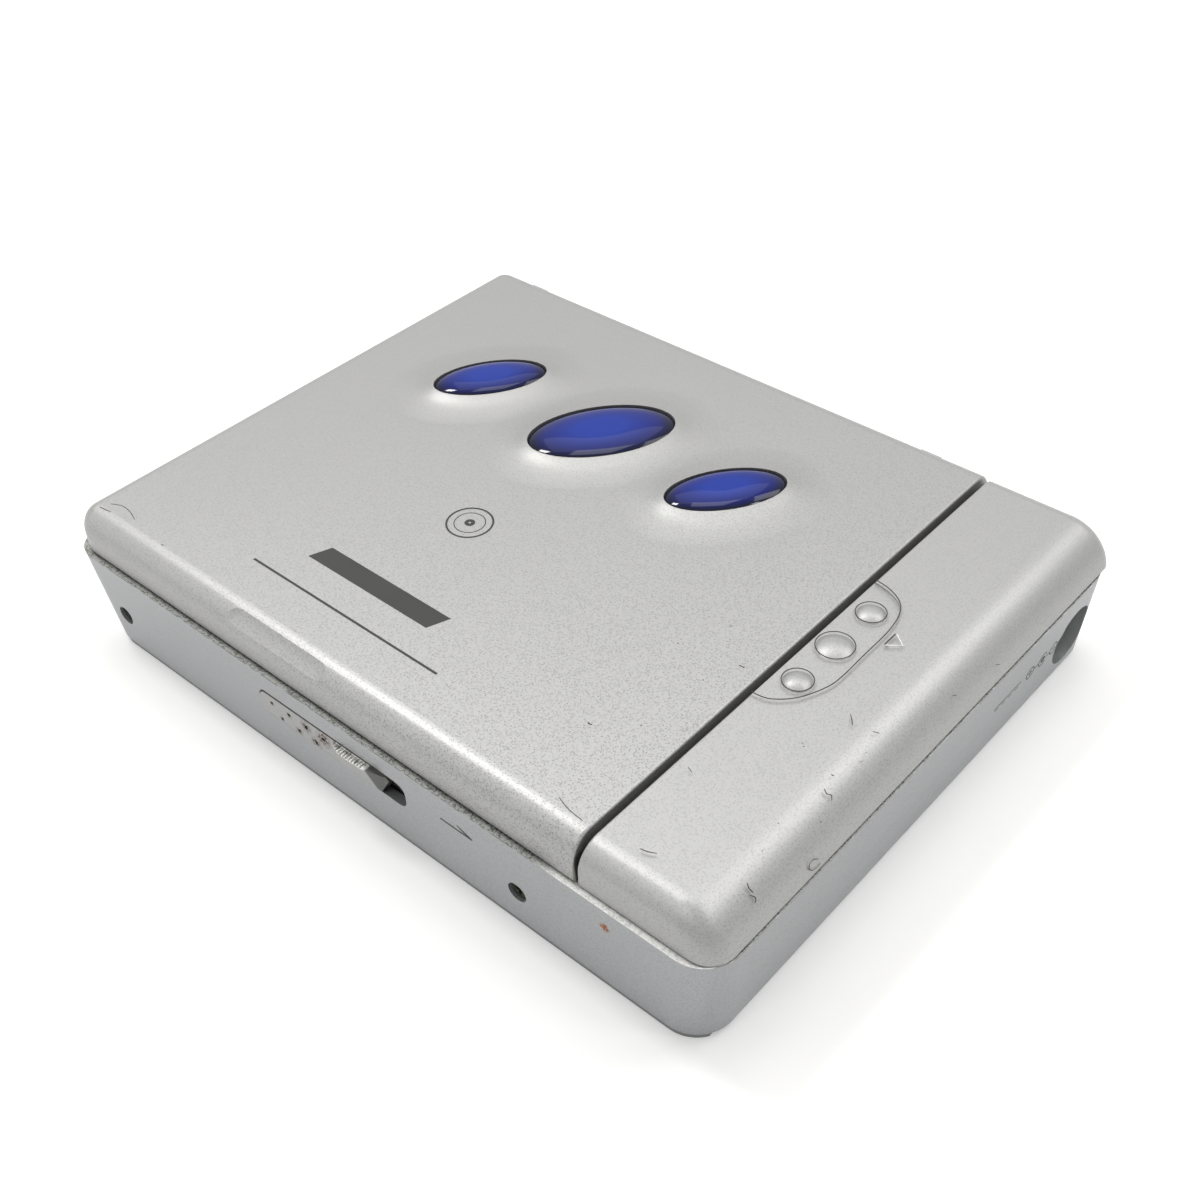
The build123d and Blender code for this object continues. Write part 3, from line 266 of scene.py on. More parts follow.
streak_group, w, inp, out = new_group(
    "brushed_streak", [("Coords", None), ("Across", 2400.0)], ["Shade", "Height"])
axes = w.split(inp["Coords"])
stretched = w.add("ShaderNodeCombineXYZ", X=w.times(axes[0], 40.0),
                  Y=w.times(axes[1], inp["Across"]), Z=w.times(axes[2], inp["Across"]))
streak = w.noise(stretched.outputs[0], 1.0, 3.0)
w.link(w.remap(streak, 0.3, 0.7, 0.90, 1.08), out["Shade"])
w.link(streak, out["Height"])
print("groups:", mould_group.name, streak_group.name)

# %% [markdown]
# ## Finishes
#
# Every finish starts in the same way, from a fresh material with its one main shader. What the
# finishes share is written once here: plain values, the object's own coordinates, a group set
# down with its values, and the two masks that mark a stripe or a stain.

# %% Material helpers
def new_material(name):
    material = bpy.data.materials.new(name)
    material.use_nodes = True
    wires = Wiring(material.node_tree)
    return material, wires, material.node_tree.nodes["Principled BSDF"]


def set_plain(principled, colour, rough, metal=0.0, **more):
    principled.inputs["Base Color"].default_value = (*colour, 1.0)
    principled.inputs["Roughness"].default_value = rough
    principled.inputs["Metallic"].default_value = metal
    for key, value in more.items():
        principled.inputs[key.replace("_", " ")].default_value = value


def place_group(wires, group, **inputs):
    return wires.add("ShaderNodeGroup", {"node_tree": group}, **inputs).outputs


def object_coords(wires):
    return wires.add("ShaderNodeTexCoord").outputs["Object"]


def scaled(wires, colour, factor):
    tone = wires.add("ShaderNodeVectorMath", {"operation": "SCALE"}, _0=colour)
    wires.feed(tone, "Scale", factor)
    return tone.outputs[0]


def band(wires, value, low, high, soft=0.05):
    """A mask between two places in millimetres."""
    return place_group(wires, band_group, Value=value, Low=low * MM, High=high * MM, Soft=soft * MM)["Mask"]


def stained(wires, colour, coords, centre, reach, stain_colour, amount):
    spot = place_group(wires, stain_group, Coords=coords, Centre=tuple(c * MM for c in centre),
                       Reach=reach * MM, Amount=amount)["Mask"]
    return wires.mix(spot, colour, stain_colour)


print("material helpers ready")

# %% [markdown]
# The outer parts share one recipe: a silver base colour carried by flakes, part metal and part
# plastic so that it reflects the room softly, with a thin worn look. A bevel lookup rounds the
# knife edges of the solids by a tenth of a millimetre, because no moulded edge is truly sharp.

# %% The silver paint recipe
RUST = (0.085, 0.042, 0.018)
# the tone of grime in specks, stains and scratches, and of the painted shade lines
GRIME_AND_SHADE = (0.055, 0.05, 0.035)
OLIVE = (0.075, 0.080, 0.058)
FLAKE_METAL = 0.62                      # the share of the paint that mirrors as metal does


def silver_paint(name, colour, local, grain, wear, rough=0.44, far=0.2, angle=0.4):
    """Silver paint; local(wires, coords, colour) adds what only this part shows."""
    material, wires, principled = new_material(name)
    set_plain(principled, colour, rough, FLAKE_METAL)
    coords = object_coords(wires)
    flake = place_group(wires, flake_group, Coords=coords, Contrast=grain, Far=far)
    scratch = place_group(wires, scratch_group, Coords=coords, Angle=angle, Amount=wear)
    speck = place_group(wires, speck_group, Coords=coords, Density=wear)
    tone = scaled(wires, colour, flake["Shade"])
    tone = wires.mix(wires.times(speck["Mask"], 0.8), tone, GRIME_AND_SHADE)
    tone = wires.mix(wires.times(scratch["Mask"], 0.35), tone, OLIVE)
    tone = local(wires, coords, tone)
    wires.link(tone, principled.inputs["Base Color"])
    height = wires.math("SUBTRACT", wires.times(flake["Height"], 0.5), scratch["Mask"])
    bevel = wires.add("ShaderNodeBevel", {"samples": 4}, Radius=0.10 * MM)
    bump = wires.add("ShaderNodeBump", Strength=0.10, Distance=0.00004, Height=height)
    wires.link(bevel.outputs[0], bump.inputs["Normal"])
    wires.link(bump.outputs[0], principled.inputs["Normal"])
    return material


print("paint recipe ready")

# %% [markdown]
# What only one part shows goes into a small function of its own, as masks laid over the paint, because paint
# over a whole part can't know its edges. The lid and the door get painted shade on their walls in the seam
# between them, and the lid has a spot of grime. Places are in millimetres.

# %% What only the lid and the door show
def lid_details(wires, coords, tone):
    axes = wires.split(coords)
    # painted shade on the lid's end wall down in the seam
    wall = wires.times(band(wires, axes[0], 33.86, 40.0, 0.06), band(wires, axes[2], 0.0, 18.32, 0.10))
    tone = wires.mix(wires.times(wall, 0.93), tone, (0.21, 0.215, 0.18))
    return stained(wires, tone, coords, (29.5, -39.2, 14.2), 2.2, GRIME_AND_SHADE, 0.25)


def door_details(wires, coords, tone):
    axes = wires.split(coords)
    # painted shade, almost black, on the door's wall in the seam
    wall = wires.times(band(wires, axes[0], 30.0, 34.52, 0.04), band(wires, axes[2], 0.0, 18.1, 0.10))
    return wires.mix(wall, tone, (0.03, 0.03, 0.024))


print("lid and door details ready")

# %% [markdown]
# The lower case has a ledge under the lid darkened as painted shade and flecked with dirt, a rim at the front
# right corner worn and painted bright as a highlight, a rim worn bright along the right end, a speck of rust,
# and a foot darkened as painted shade. Stripes by height hold all of these but the speck, and noise breaks
# them up, since dirt and wear are never even.

# %% What only the lower case shows
def case_details(wires, coords, tone):
    axes = wires.split(coords)
    squiggle = wires.math("ABSOLUTE", wires.math("SUBTRACT", wires.noise(coords, 1500.0, 2.0), 0.5))
    squiggle = wires.remap(squiggle, 0.015, 0.05, 1.0, 0.0)
    broken = wires.remap(wires.noise(coords, 700.0, 2.0), 0.42, 0.50)
    # where the marks lie: on the front wall, and past which point its right corner begins
    front = wires.remap(axes[1], -38.0 * MM, -38.6 * MM)
    corner = wires.remap(axes[0], 29.0 * MM, 32.0 * MM)
    plain_front = wires.times(front, wires.math("SUBTRACT", 1.0, corner))
    # the ledge, darkened as painted shade under the lid and flecked with dirt, and a broken dark line along
    # the rim below it
    ledge = band(wires, axes[2], 13.12, 14.0)
    tone = wires.mix(wires.times(ledge, 0.35), tone, (0.30, 0.30, 0.24))
    tone = wires.mix(wires.times(ledge, squiggle, 0.8), tone, OLIVE)
    rim = band(wires, axes[2], 12.93, 13.10, 0.03)
    tone = wires.mix(wires.times(rim, broken, plain_front), tone, OLIVE)
    # the rim at the front right corner, worn and painted bright as a highlight, then the rim worn bright
    # along the right end
    bright = wires.times(front, corner, band(wires, axes[2], 12.95, 14.0))
    tone = wires.mix(wires.times(bright, 0.9), tone, (0.92, 0.92, 0.90))
    tone = wires.mix(wires.times(bright, squiggle, 0.22), tone, OLIVE)
    side_rim = band(wires, axes[2], 12.95, 13.10, 0.03)
    side = wires.times(wires.remap(axes[0], 50.5 * MM, 51.0 * MM), side_rim)
    tone = wires.mix(wires.times(side, 0.8), tone, (0.80, 0.80, 0.78))
    tone = wires.mix(wires.times(side, broken, 0.8), tone, OLIVE)
    # the foot, darkened as painted shade
    foot = wires.remap(axes[2], 0.74 * MM, 0.80 * MM, 1.0, 0.0)
    tone = wires.mix(wires.times(foot, 0.75), tone, (0.20, 0.20, 0.195))
    return stained(wires, tone, coords, (38.4, -39.95, 10.3), 0.75, (0.30, 0.09, 0.02), 3.0)


print("case details ready")

# %% [markdown]
# The opener has rust in its dimples, a top rib worn bright in patches by thumbs and painted bright there as a
# highlight, and a dark end beyond its slant. The volume keys and the hold switch take the opener's paint as
# well. Nothing holds the dark end to the front wall, so it also darkens one volume key and a third of the
# other, which is a fault of this version. Each outer part then gets the paint in its own shade.

# %% What the opener shows, and the four paints
SLANT = 0.30                            # how far the opener's end leans over for its height


def opener_details(wires, coords, tone):
    axes = wires.split(coords)
    leaning = wires.math("ADD", axes[0], wires.times(axes[2], SLANT))
    end = wires.remap(leaning, 6.68 * MM, 6.90 * MM)
    tone = wires.mix(wires.times(end, 0.85), tone, (0.055, 0.056, 0.052))
    for x, z, reach, amount in ((-4.1, 8.8, 1.5, 1.9), (-5.7, 7.2, 1.1, 1.5), (-7.2, 8.8, 1.2, 1.3),
                                (-8.7, 7.2, 0.9, 0.9), (-10.2, 8.8, 0.7, 0.7)):
        tone = stained(wires, tone, coords, (x, -39.95, z), reach, RUST, amount)
    # the top rib: worn bright in patches, and painted bright as a highlight
    worn = wires.times(band(wires, axes[2], 9.35, 10.2, 0.15), band(wires, axes[0], -1.9, 3.9, 0.4))
    patchy = wires.remap(wires.noise(coords, 1400.0, 3.0), 0.36, 0.50)
    return wires.mix(wires.times(worn, patchy, 0.85), tone, (0.93, 0.93, 0.90))


lid_paint = silver_paint(
    "lid silver paint", (0.412, 0.412, 0.408), lid_details, grain=0.46, wear=0.35)
case_paint = silver_paint(
    "case silver paint", (0.410, 0.417, 0.427), case_details, grain=0.22, wear=0.4, far=0.15, angle=1.2)
door_paint = silver_paint(
    "door silver paint", (0.430, 0.430, 0.430), door_details, grain=0.24, wear=0.7, angle=0.9)
trim_paint = silver_paint(
    "opener silver", (0.418, 0.418, 0.412), opener_details, grain=0.15, wear=0.6, rough=0.40)
print("silver paints ready")

# %% [markdown]
# ## Plastics, metals and boards inside
#
# The inside shows when the lid tips up. Turned and pressed steel get a brushed streak, the
# boards a green mask with faint tracks, mouldings a fine texture.

# %% Inner finishes
def grained_plastic(name, colour, rough=0.55, bump=0.25):
    material, wires, principled = new_material(name)
    set_plain(principled, colour, rough)
    grain = place_group(wires, mould_group, Coords=object_coords(wires))
    wires.link(scaled(wires, colour, grain["Shade"]), principled.inputs["Base Color"])
    bumped = wires.add("ShaderNodeBump", Strength=bump, Distance=0.00004, Height=grain["Height"])
    wires.link(bumped.outputs[0], principled.inputs["Normal"])
    return material


def brushed_metal(name, colour, rough=0.30):
    material, wires, principled = new_material(name)
    set_plain(principled, colour, rough, 1.0)
    streaks = place_group(wires, streak_group, Coords=object_coords(wires))
    wires.link(scaled(wires, colour, streaks["Shade"]), principled.inputs["Base Color"])
    wires.link(wires.times(streaks["Shade"], rough), principled.inputs["Roughness"])
    bumped = wires.add("ShaderNodeBump", Strength=0.08, Distance=0.00003, Height=streaks["Height"])
    wires.link(bumped.outputs[0], principled.inputs["Normal"])
    return material


def board_mask(name):
    material, wires, principled = new_material(name)
    set_plain(principled, (0.02, 0.13, 0.06), 0.35)
    tracks = wires.add("ShaderNodeTexBrick", Vector=object_coords(wires), Scale=260.0)
    tracks.inputs["Color1"].default_value = (0.018, 0.12, 0.055, 1.0)
    tracks.inputs["Color2"].default_value = (0.022, 0.15, 0.065, 1.0)
    tracks.inputs["Mortar"].default_value = (0.04, 0.22, 0.10, 1.0)
    wires.link(tracks.outputs["Color"], principled.inputs["Base Color"])
    return material


dark_plastic = grained_plastic("dark moulding", (0.075, 0.08, 0.085))
black_plastic = grained_plastic("black moulding", (0.02, 0.02, 0.021), 0.45)
white_plastic = grained_plastic("natural acetal", (0.72, 0.70, 0.64), 0.4)
rubber = grained_plastic("soft rubber", (0.03, 0.03, 0.032), 0.8)
socket_plastic = grained_plastic("grey socket moulding", (0.74, 0.74, 0.72), 0.5)
sheet_steel = brushed_metal("pressed steel", (0.56, 0.57, 0.58), 0.32)
turned_steel = brushed_metal("turned steel", (0.60, 0.60, 0.61), 0.25)
dull_screw = brushed_metal("aged screw", (0.050, 0.052, 0.042), 0.6)
dull_bar = brushed_metal("aged latch steel", (0.16, 0.16, 0.155), 0.5)
nickel = brushed_metal("bright nickel", (0.70, 0.68, 0.63), 0.18)
brass = brushed_metal("turned brass", (0.72, 0.52, 0.22), 0.25)
green_board = board_mask("green solder mask")
ink = grained_plastic("printed ink", (0.035, 0.037, 0.034), 0.6, 0.1)
# grime for scratches and pits, and painted shade for dark lines in fine steps and under the slot's lip
grime_and_shade = grained_plastic("settled grime", GRIME_AND_SHADE, 0.8, 0.1)
# a bright paint for the painted highlight on the door triangle's slanted sides
highlight_paint = grained_plastic("bright highlight paint", (0.85, 0.85, 0.83), 0.45, 0.1)
print("inner finishes ready")

# %% [markdown]
# The pickup reads the disc through a small coated lens. A clear finish with a bluish tint is
# enough for a piece this small.

# %% The pickup's lens
lens_glass, _, lens = new_material("coated lens")
set_plain(lens, (0.35, 0.42, 0.60), 0.05, 0.0, Transmission_Weight=0.85, IOR=1.5)
print("finish:", lens_glass.name)

# %% [markdown]
# The solid parts come in bare. The model's record names a slot for each of them, so a short table
# from slot to finish dresses them all. Three parts with a look of their own go by name instead.

# %% Hand the finishes to the solid parts
finish_of = {
    "silver_case": case_paint, "silver_lid": lid_paint, "silver_door": door_paint, "silver_trim": trim_paint,
    "dark_plastic": dark_plastic, "black_plastic": black_plastic, "white_plastic": white_plastic,
    "steel_sheet": sheet_steel, "steel_parts": turned_steel, "nickel_plate": nickel, "brass_parts": brass,
    "soft_rubber": rubber, "board_green": green_board, "lens_glass": lens_glass,
}
special_finish = {"side_screws": dull_screw, "latch_bar": dull_bar, "dc_jack": socket_plastic}
for entry in frame["record"]["subparts"]:
    solid = nodes[entry["node"]]
    chosen = special_finish.get(entry["node"], finish_of.get(entry["material_slot"]))
    if chosen is None:
        continue
    if not solid.material_slots:
        solid.data.materials.append(chosen)
    for holder in solid.material_slots:
        holder.material = chosen
print("solid parts painted")

# %% [markdown]
# ## The swelling round the keys
#
# On the real lid the plastic rises in a soft swell round each key and the three swells run
# into each other. A swell has no edges, so it is made as a fine grid of points whose height
# falls away from each key's outline, with an oval hole for each key. The height keeps a firm
# shoulder close to the key and runs out in a long soft tail. The same rule gives the height
# everywhere, so neighbouring swells blend by themselves. Sizes are in millimetres.

# %% Where the keys are
TILT = math.radians(54.5)
# middle x, middle y, half the length, half the width
KEYS = {
    "left_button": (-29.8, 14.8, 7.8, 4.0),
    "middle_button": (-9.3, 14.7, 9.8, 5.5),
    "right_button": (11.1, 14.8, 7.8, 4.0),
}
HOLE_GAP = 0.12
OVAL_POINTS = 96
SWELL_REACH, TAIL_HEIGHT = 5.6, 0.72
SHOULDER_REACH, SHOULDER_HEIGHT = 1.4, 0.28


def key_frame(key, x, y):
    """A point seen from a key's middle, along its long and its short axis."""
    cx, cy, a, b = KEYS[key]
    dx, dy = x - cx, y - cy
    return dx * math.cos(TILT) + dy * math.sin(TILT), -dx * math.sin(TILT) + dy * math.cos(TILT)


def from_key(key, u, v):
    cx, cy, a, b = KEYS[key]
    return cx + u * math.cos(TILT) - v * math.sin(TILT), cy + u * math.sin(TILT) + v * math.cos(TILT)


def beyond_key(key, x, y):
    """Rough distance outside a key's outline, in millimetres."""
    cx, cy, a, b = KEYS[key]
    u, v = key_frame(key, x, y)
    k = math.hypot(u / a, v / b)
    slope = math.hypot(u / a ** 2, v / b ** 2) / max(k, 1e-6)
    return (k - 1.0) / max(slope, 1e-6)


def swell_profile(gap):
    """Height of one key's swell at a distance from that key."""
    if gap >= SWELL_REACH:
        return 0.0
    tail = TAIL_HEIGHT * (1.0 - gap / SWELL_REACH) ** 1.5
    return tail + SHOULDER_HEIGHT * math.exp(-(gap / SHOULDER_REACH) ** 2)


def swell_height(x, y):
    """Height of all three together; the full height is one millimetre."""
    clear = 1.0
    for key in KEYS:
        clear *= 1.0 - swell_profile(max(0.0, beyond_key(key, x, y)))
    return 1.0 - clear


print("swell between keys:", round(swell_height(-19.5, 14.8), 2), "mm")


# %% [markdown]
# The grid keeps only the squares that rise above the flat lid and stay clear of the keys. That
# is quick to build and even in shape, but it leaves the three holes with stepped edges.

# %% Build the swell as a grid with three holes
SKIN_GAP = 0.004                        # keeps the skin off the flat lid it runs out on
FLAT = 0.006                            # squares no higher than this are left out


def build_swell():
    step = 0.4
    x0, x1, y0, y1 = -43.5, 25.0, -1.0, 30.5
    columns, rows = int((x1 - x0) / step), int((y1 - y0) / step)
    verts, faces, index = [], [], {}
    for j in range(rows + 1):
        for i in range(columns + 1):
            x, y = x0 + i * step, y0 + j * step
            index[i, j] = len(verts)
            verts.append((x * MM, y * MM, (LID_TOP + swell_height(x, y) + SKIN_GAP) * MM))
    for j in range(rows):
        for i in range(columns):
            corners = [(i, j), (i + 1, j), (i + 1, j + 1), (i, j + 1)]
            points = [verts[index[c]] for c in corners]
            lifted = any(p[2] > (LID_TOP + FLAT) * MM for p in points)
            holed = any(beyond_key(k, p[0] / MM, p[1] / MM) < HOLE_GAP for k in KEYS for p in points)
            if lifted and not holed:
                faces.append([index[c] for c in corners])
    return verts, faces


verts, faces = build_swell()
swell = make_piece("key_swell", verts, faces, "lid", lid_paint)
print("swell grid:", len(faces), "squares")

# %% [markdown]
# A moulded edge round a key is a true oval that turns down into the lid. So each stepped hole is
# bridged to an oval by a strip of faces, and the oval gets a short wall below it.

# %% Fit the holes to true ovals
EDGE_SEARCH = 1.2                       # the grid's stepped hole edges lie this close to a key
EDGE_DEPTH = 0.9                        # how far the oval edge turns down into the lid


def fit_rim_to_holes(piece):
    """Bridges the grid's stepped holes to true ovals, and turns each oval's edge down."""
    bm = bmesh.new()
    bm.from_mesh(piece.data)
    loose = [v for v in bm.verts if not v.link_faces]
    bmesh.ops.delete(bm, geom=loose, context="VERTS")
    for key, (cx, cy, a, b) in KEYS.items():
        stepped = [e for e in bm.edges if e.is_boundary and all(
            beyond_key(key, v.co.x / MM, v.co.y / MM) < EDGE_SEARCH for v in e.verts)]
        ring, low = [], []
        for n in range(OVAL_POINTS):
            t = 2 * math.pi * n / OVAL_POINTS
            x, y = from_key(key, (a + HOLE_GAP) * math.cos(t), (b + HOLE_GAP) * math.sin(t))
            z = LID_TOP + swell_height(x, y)
            ring.append(bm.verts.new((x * MM, y * MM, z * MM)))
            low.append(bm.verts.new((x * MM, y * MM, (LID_TOP - EDGE_DEPTH) * MM)))
        edges = [bm.edges.new((ring[n], ring[(n + 1) % OVAL_POINTS])) for n in range(OVAL_POINTS)]
        bmesh.ops.bridge_loops(bm, edges=stepped + edges)
        for n in range(OVAL_POINTS):
            m = (n + 1) % OVAL_POINTS
            bm.faces.new((ring[n], ring[m], low[m], low[n]))
    bmesh.ops.recalc_face_normals(bm, faces=bm.faces)
    bm.to_mesh(piece.data)
    bm.free()


fit_rim_to_holes(swell)
shade(swell, 50.0)
print("swell faces:", len(swell.data.polygons))

# %% [markdown]
# ## The gel keys
#
# Each key looks like a drop of blue gel: bright in the middle and darker towards the rim, under
# a thin clear coat. Real depth would need clear material with a dark bottom, which is slow and
# hard to steer. Here how far out each point lies is kept with the mesh, and a ramp of three
# colours reads it.

# %% The blue gel finish
gel, w, gel_shader = new_material("blue gel")
set_plain(gel_shader, (0.03, 0.06, 0.32), 0.08, 0.0,
          Coat_Weight=0.32, Coat_Roughness=0.03, Specular_IOR_Level=0.16)
outward = w.add("ShaderNodeAttribute", {"attribute_name": "outward"})
ramp = w.add("ShaderNodeValToRGB", Fac=outward.outputs["Fac"])
stops = ramp.color_ramp.elements
stops[0].position = 0.34
stops[0].color = (0.006, 0.034, 0.330, 1.0)
stops[1].position = 0.96
stops[1].color = (0.001, 0.002, 0.018, 1.0)
stops.new(0.76).color = (0.003, 0.011, 0.170, 1.0)
w.link(ramp.outputs[0], gel_shader.inputs["Base Color"])
print("finish:", gel.name, "with", len(stops), "colour stops")

# %% [markdown]
# A key is a crowned oval that is flattest in the middle and turns over quickly at its rim. It is
# made of rings, from the foot under the lid up round the rim and over the crown, so that every
# ring follows the oval and the highlight on it stays smooth.

# %% Build the keys
CROWN = 1.49                            # height of the crown above the lid
CROWN_DROP = 0.88                       # how far the surface falls from the crown to the rim
FOOT, SHOULDER = -1.1, 0.45             # between these two heights the key's side is upright
CROWN_RINGS = 22


def key_profile():
    """Share of the outline and height above the lid, from the foot to just short of the crown."""
    profile = [(1.0, FOOT), (1.0, SHOULDER)]
    for n in range(CROWN_RINGS):
        share = math.cos(math.pi / 2 * n / CROWN_RINGS)
        profile.append((share, CROWN - CROWN_DROP * (1.0 - (1.0 - share ** 4) ** 0.8)))
    return profile


def build_key(key):
    cx, cy, a, b = KEYS[key]
    profile = key_profile()
    count = OVAL_POINTS
    verts, faces, shares = [], [], []
    for share, z in profile:
        for n in range(count):
            t = 2 * math.pi * n / count
            x, y = from_key(key, a * share * math.cos(t), b * share * math.sin(t))
            verts.append((x * MM, y * MM, (LID_TOP + z) * MM))
            shares.append(share)
    for ring in range(len(profile) - 1):
        for n in range(count):
            m = (n + 1) % count
            base = ring * count
            faces.append((base + n, base + m, base + count + m, base + count + n))
    peak = len(verts)
    verts.append((cx * MM, cy * MM, (LID_TOP + CROWN) * MM))
    shares.append(0.0)
    last = (len(profile) - 1) * count
    for n in range(count):
        faces.append((last + n, last + (n + 1) % count, peak))
    faces.append(tuple(reversed(range(count))))
    piece = make_piece("gel_" + key, verts, faces, key, gel, [key])
    layer = piece.data.attributes.new("outward", "FLOAT", "POINT")
    layer.data.foreach_set("value", shares)
    shade(piece, 60.0)


for key in KEYS:
    build_key(key)
print("three gel keys")

# %% [markdown]
# ## Thin marks: print, scratches and lines of painted shade
#
# Ink, a scratch and a line of painted shade are all a very thin layer on a wall. Each is drawn here as a real
# strip, a few hundredths of a millimetre thick, with its own two sides and ends. A surface function says
# where a flat drawing lands on the player, so the same pen can draw on the lid, the door, the round end of
# the door, or the walls.

# %% The pen
PROUD, SUNK = 0.014, -0.03              # a mark's two sides, above and below the surface


class Pen:
    """Collects strips drawn on one surface, and makes them one piece."""

    def __init__(self, surface):
        self.surface = surface
        self.verts = []
        self.faces = []

    def strip(self, left, right, closed=False):
        start, count = len(self.verts), len(left)
        for a, b in zip(left, right):
            for (u, v), lift in ((a, PROUD), (b, PROUD), (b, SUNK), (a, SUNK)):
                self.verts.append(tuple(c * MM for c in self.surface(u, v, lift)))
        for n in range(count if closed else count - 1):
            here, there = start + 4 * n, start + 4 * ((n + 1) % count)
            for k in range(4):
                m = (k + 1) % 4
                self.faces.append((here + k, here + m, there + m, there + k))
        if not closed:
            end = start + 4 * (count - 1)
            self.faces.append((start + 3, start + 2, start + 1, start))
            self.faces.append((end, end + 1, end + 2, end + 3))

    def stroke(self, points, width, tips=0.3):
        """A line through points; tips is the share of the width left at its two ends."""
        left, right = [], []
        for n, (u, v) in enumerate(points):
            before, after = points[max(n - 1, 0)], points[min(n + 1, len(points) - 1)]
            du, dv = after[0] - before[0], after[1] - before[1]
            size = math.hypot(du, dv) or 1.0
            half = width / 2 * (tips if n in (0, len(points) - 1) else 1.0)
            left.append((u - dv / size * half, v + du / size * half))
            right.append((u + dv / size * half, v - du / size * half))
        self.strip(left, right)

    def ring(self, cu, cv, radius, width, count=48):
        angles = [2 * math.pi * n / count for n in range(count)]
        inner, outer = [[(cu + r * math.cos(t), cv + r * math.sin(t)) for t in angles]
                        for r in (radius - width / 2, radius + width / 2)]
        self.strip(inner, outer, closed=True)

    def arc(self, cu, cv, radius, start, stop, width, count=16):
        turn = [math.radians(start + (stop - start) * n / count) for n in range(count + 1)]
        self.stroke([(cu + radius * math.cos(t), cv + radius * math.sin(t)) for t in turn], width, 1.0)

    def done(self, name, body, material):
        make_piece(name, self.verts, self.faces, body, material)
        print(name, len(self.faces), "faces")


def smooth(points, steps=6):
    """Rounds a path of a few points into many, without moving its ends."""
    path = []
    for n in range(len(points) - 1):
        p0, p1 = points[max(n - 1, 0)], points[n]
        p2, p3 = points[n + 1], points[min(n + 2, len(points) - 1)]
        for k in range(steps):
            t = k / steps
            path.append(tuple(0.5 * (2 * b + (c - a) * t + (2 * a - 5 * b + 4 * c - d) * t * t
                                     + (3 * b - a - 3 * c + d) * t ** 3)
                              for a, b, c, d in zip(p0, p1, p2, p3)))
    path.append(points[-1])
    return path


print("marks are", round(PROUD - SUNK, 3), "mm thick")

# %% [markdown]
# A mark has to follow the surface it lies on. Each of these functions takes a flat place in
# millimetres and a height above the surface, and gives the point in space: on a flat top, on a
# wall, which leans out a little, or on the door's round end.

# %% The surfaces that carry marks
GRIP_DEPTH = 0.2                        # the thumb grip lies this far below the door's top
WALL_HEIGHT = 13.2                      # the case walls lean out evenly up to this height
FRONT_WALL, FRONT_LEAN = -40.0, 0.28
RIGHT_WALL, RIGHT_LEAN = 51.9, 1.0
END_AXIS, END_RADIUS = 45.84, 6.0       # the door's round right end


def on_lid(u, v, lift):
    return u, v, LID_TOP + lift


def on_door(u, v, lift):
    return u, v, DOOR_TOP + lift


def on_grip(u, v, lift):
    return u, v, DOOR_TOP - GRIP_DEPTH + lift


def on_front(u, v, lift):
    return u, FRONT_WALL + FRONT_LEAN * (1 - v / WALL_HEIGHT) - lift, v


def on_right(u, v, lift):
    return RIGHT_WALL - RIGHT_LEAN * (1 - v / WALL_HEIGHT) + lift, u, v


def on_end_round(u, v, lift):
    """The door's round right end; v is the angle from straight up, in degrees."""
    t = math.radians(v)
    r = END_RADIUS + lift
    return END_AXIS + r * math.sin(t), u, DOOR_TOP - END_RADIUS + r * math.cos(t)


print("the front wall leans out by", FRONT_LEAN, "mm and the right wall by", RIGHT_LEAN, "mm")


# %% [markdown]
# ### Print on the lid
#
# A maker prints a name and a line of words here. This player carries none: a plain slanting
# bar stands where the name would be, a hairline where the words would be, and a ring with a
# dot, the plainest sign for a disc, where the format's mark would be.

# %% Print on the lid
print_pen = Pen(on_lid)
bar = [(-19.4, -23.3), (1.0, -23.3), (-0.1, -26.2), (-20.5, -26.2)]
print_pen.strip([bar[0], bar[1]], [bar[3], bar[2]])
print_pen.stroke([(-25.2, -30.7), (6.3, -30.7)], 0.32, 1.0)
print_pen.ring(-9.9, -9.3, 2.9, 0.26)
print_pen.ring(-9.9, -9.3, 1.95, 0.12)
print_pen.ring(-9.9, -9.3, 0.42, 0.5, 24)
print_pen.done("lid_print", "lid", ink)

# %% [markdown]
# ### Dirt, scratches and lines of painted shade on the lid and the door
#
# Years in pockets leave short dashes, pits and hair-thin curved scratches. Each is drawn one by one, because
# a real player has only a few and the eye knows them by their places.

# %% Marks on the lid
scars = Pen(on_lid)
for points in (
    [(31.0, -8.6), (31.7, -8.55)], [(24.0, -25.65), (24.3, -25.75), (24.6, -25.65)],
    [(26.35, -4.15), (26.5, -4.1)], [(23.55, -10.1), (23.7, -10.05)], [(28.55, -22.45), (28.7, -22.4)],
    [(29.35, -12.95), (29.5, -12.9)], [(-36.2, -36.2), (-35.9, -36.1)],
):
    scars.stroke(points, 0.16, 0.8)
for points in (
    [(28.7, -35.35), (30.4, -35.9), (32.6, -36.15)],
    [(-48.1, -35.3), (-46.6, -34.6), (-44.8, -34.7), (-42.9, -35.3)],
    [(-48.7, -36.5), (-47.6, -36.4), (-46.7, -36.25)],
    [(-14.0, 1.4), (-12.9, 1.1), (-11.8, 1.3)],
):
    scars.stroke(smooth(points), 0.09)
scars.done("lid_scars", "lid", grime_and_shade)

# %% [markdown]
# Painted shade draws a dark line in every fine step of the battery door: along the edge of the thumb grip and
# round its three bumps. A small embossed triangle points the way the door slides; its slanted sides are
# painted bright as a highlight and its base dark as painted shade. All of it rides on the door, so that it
# goes with it.

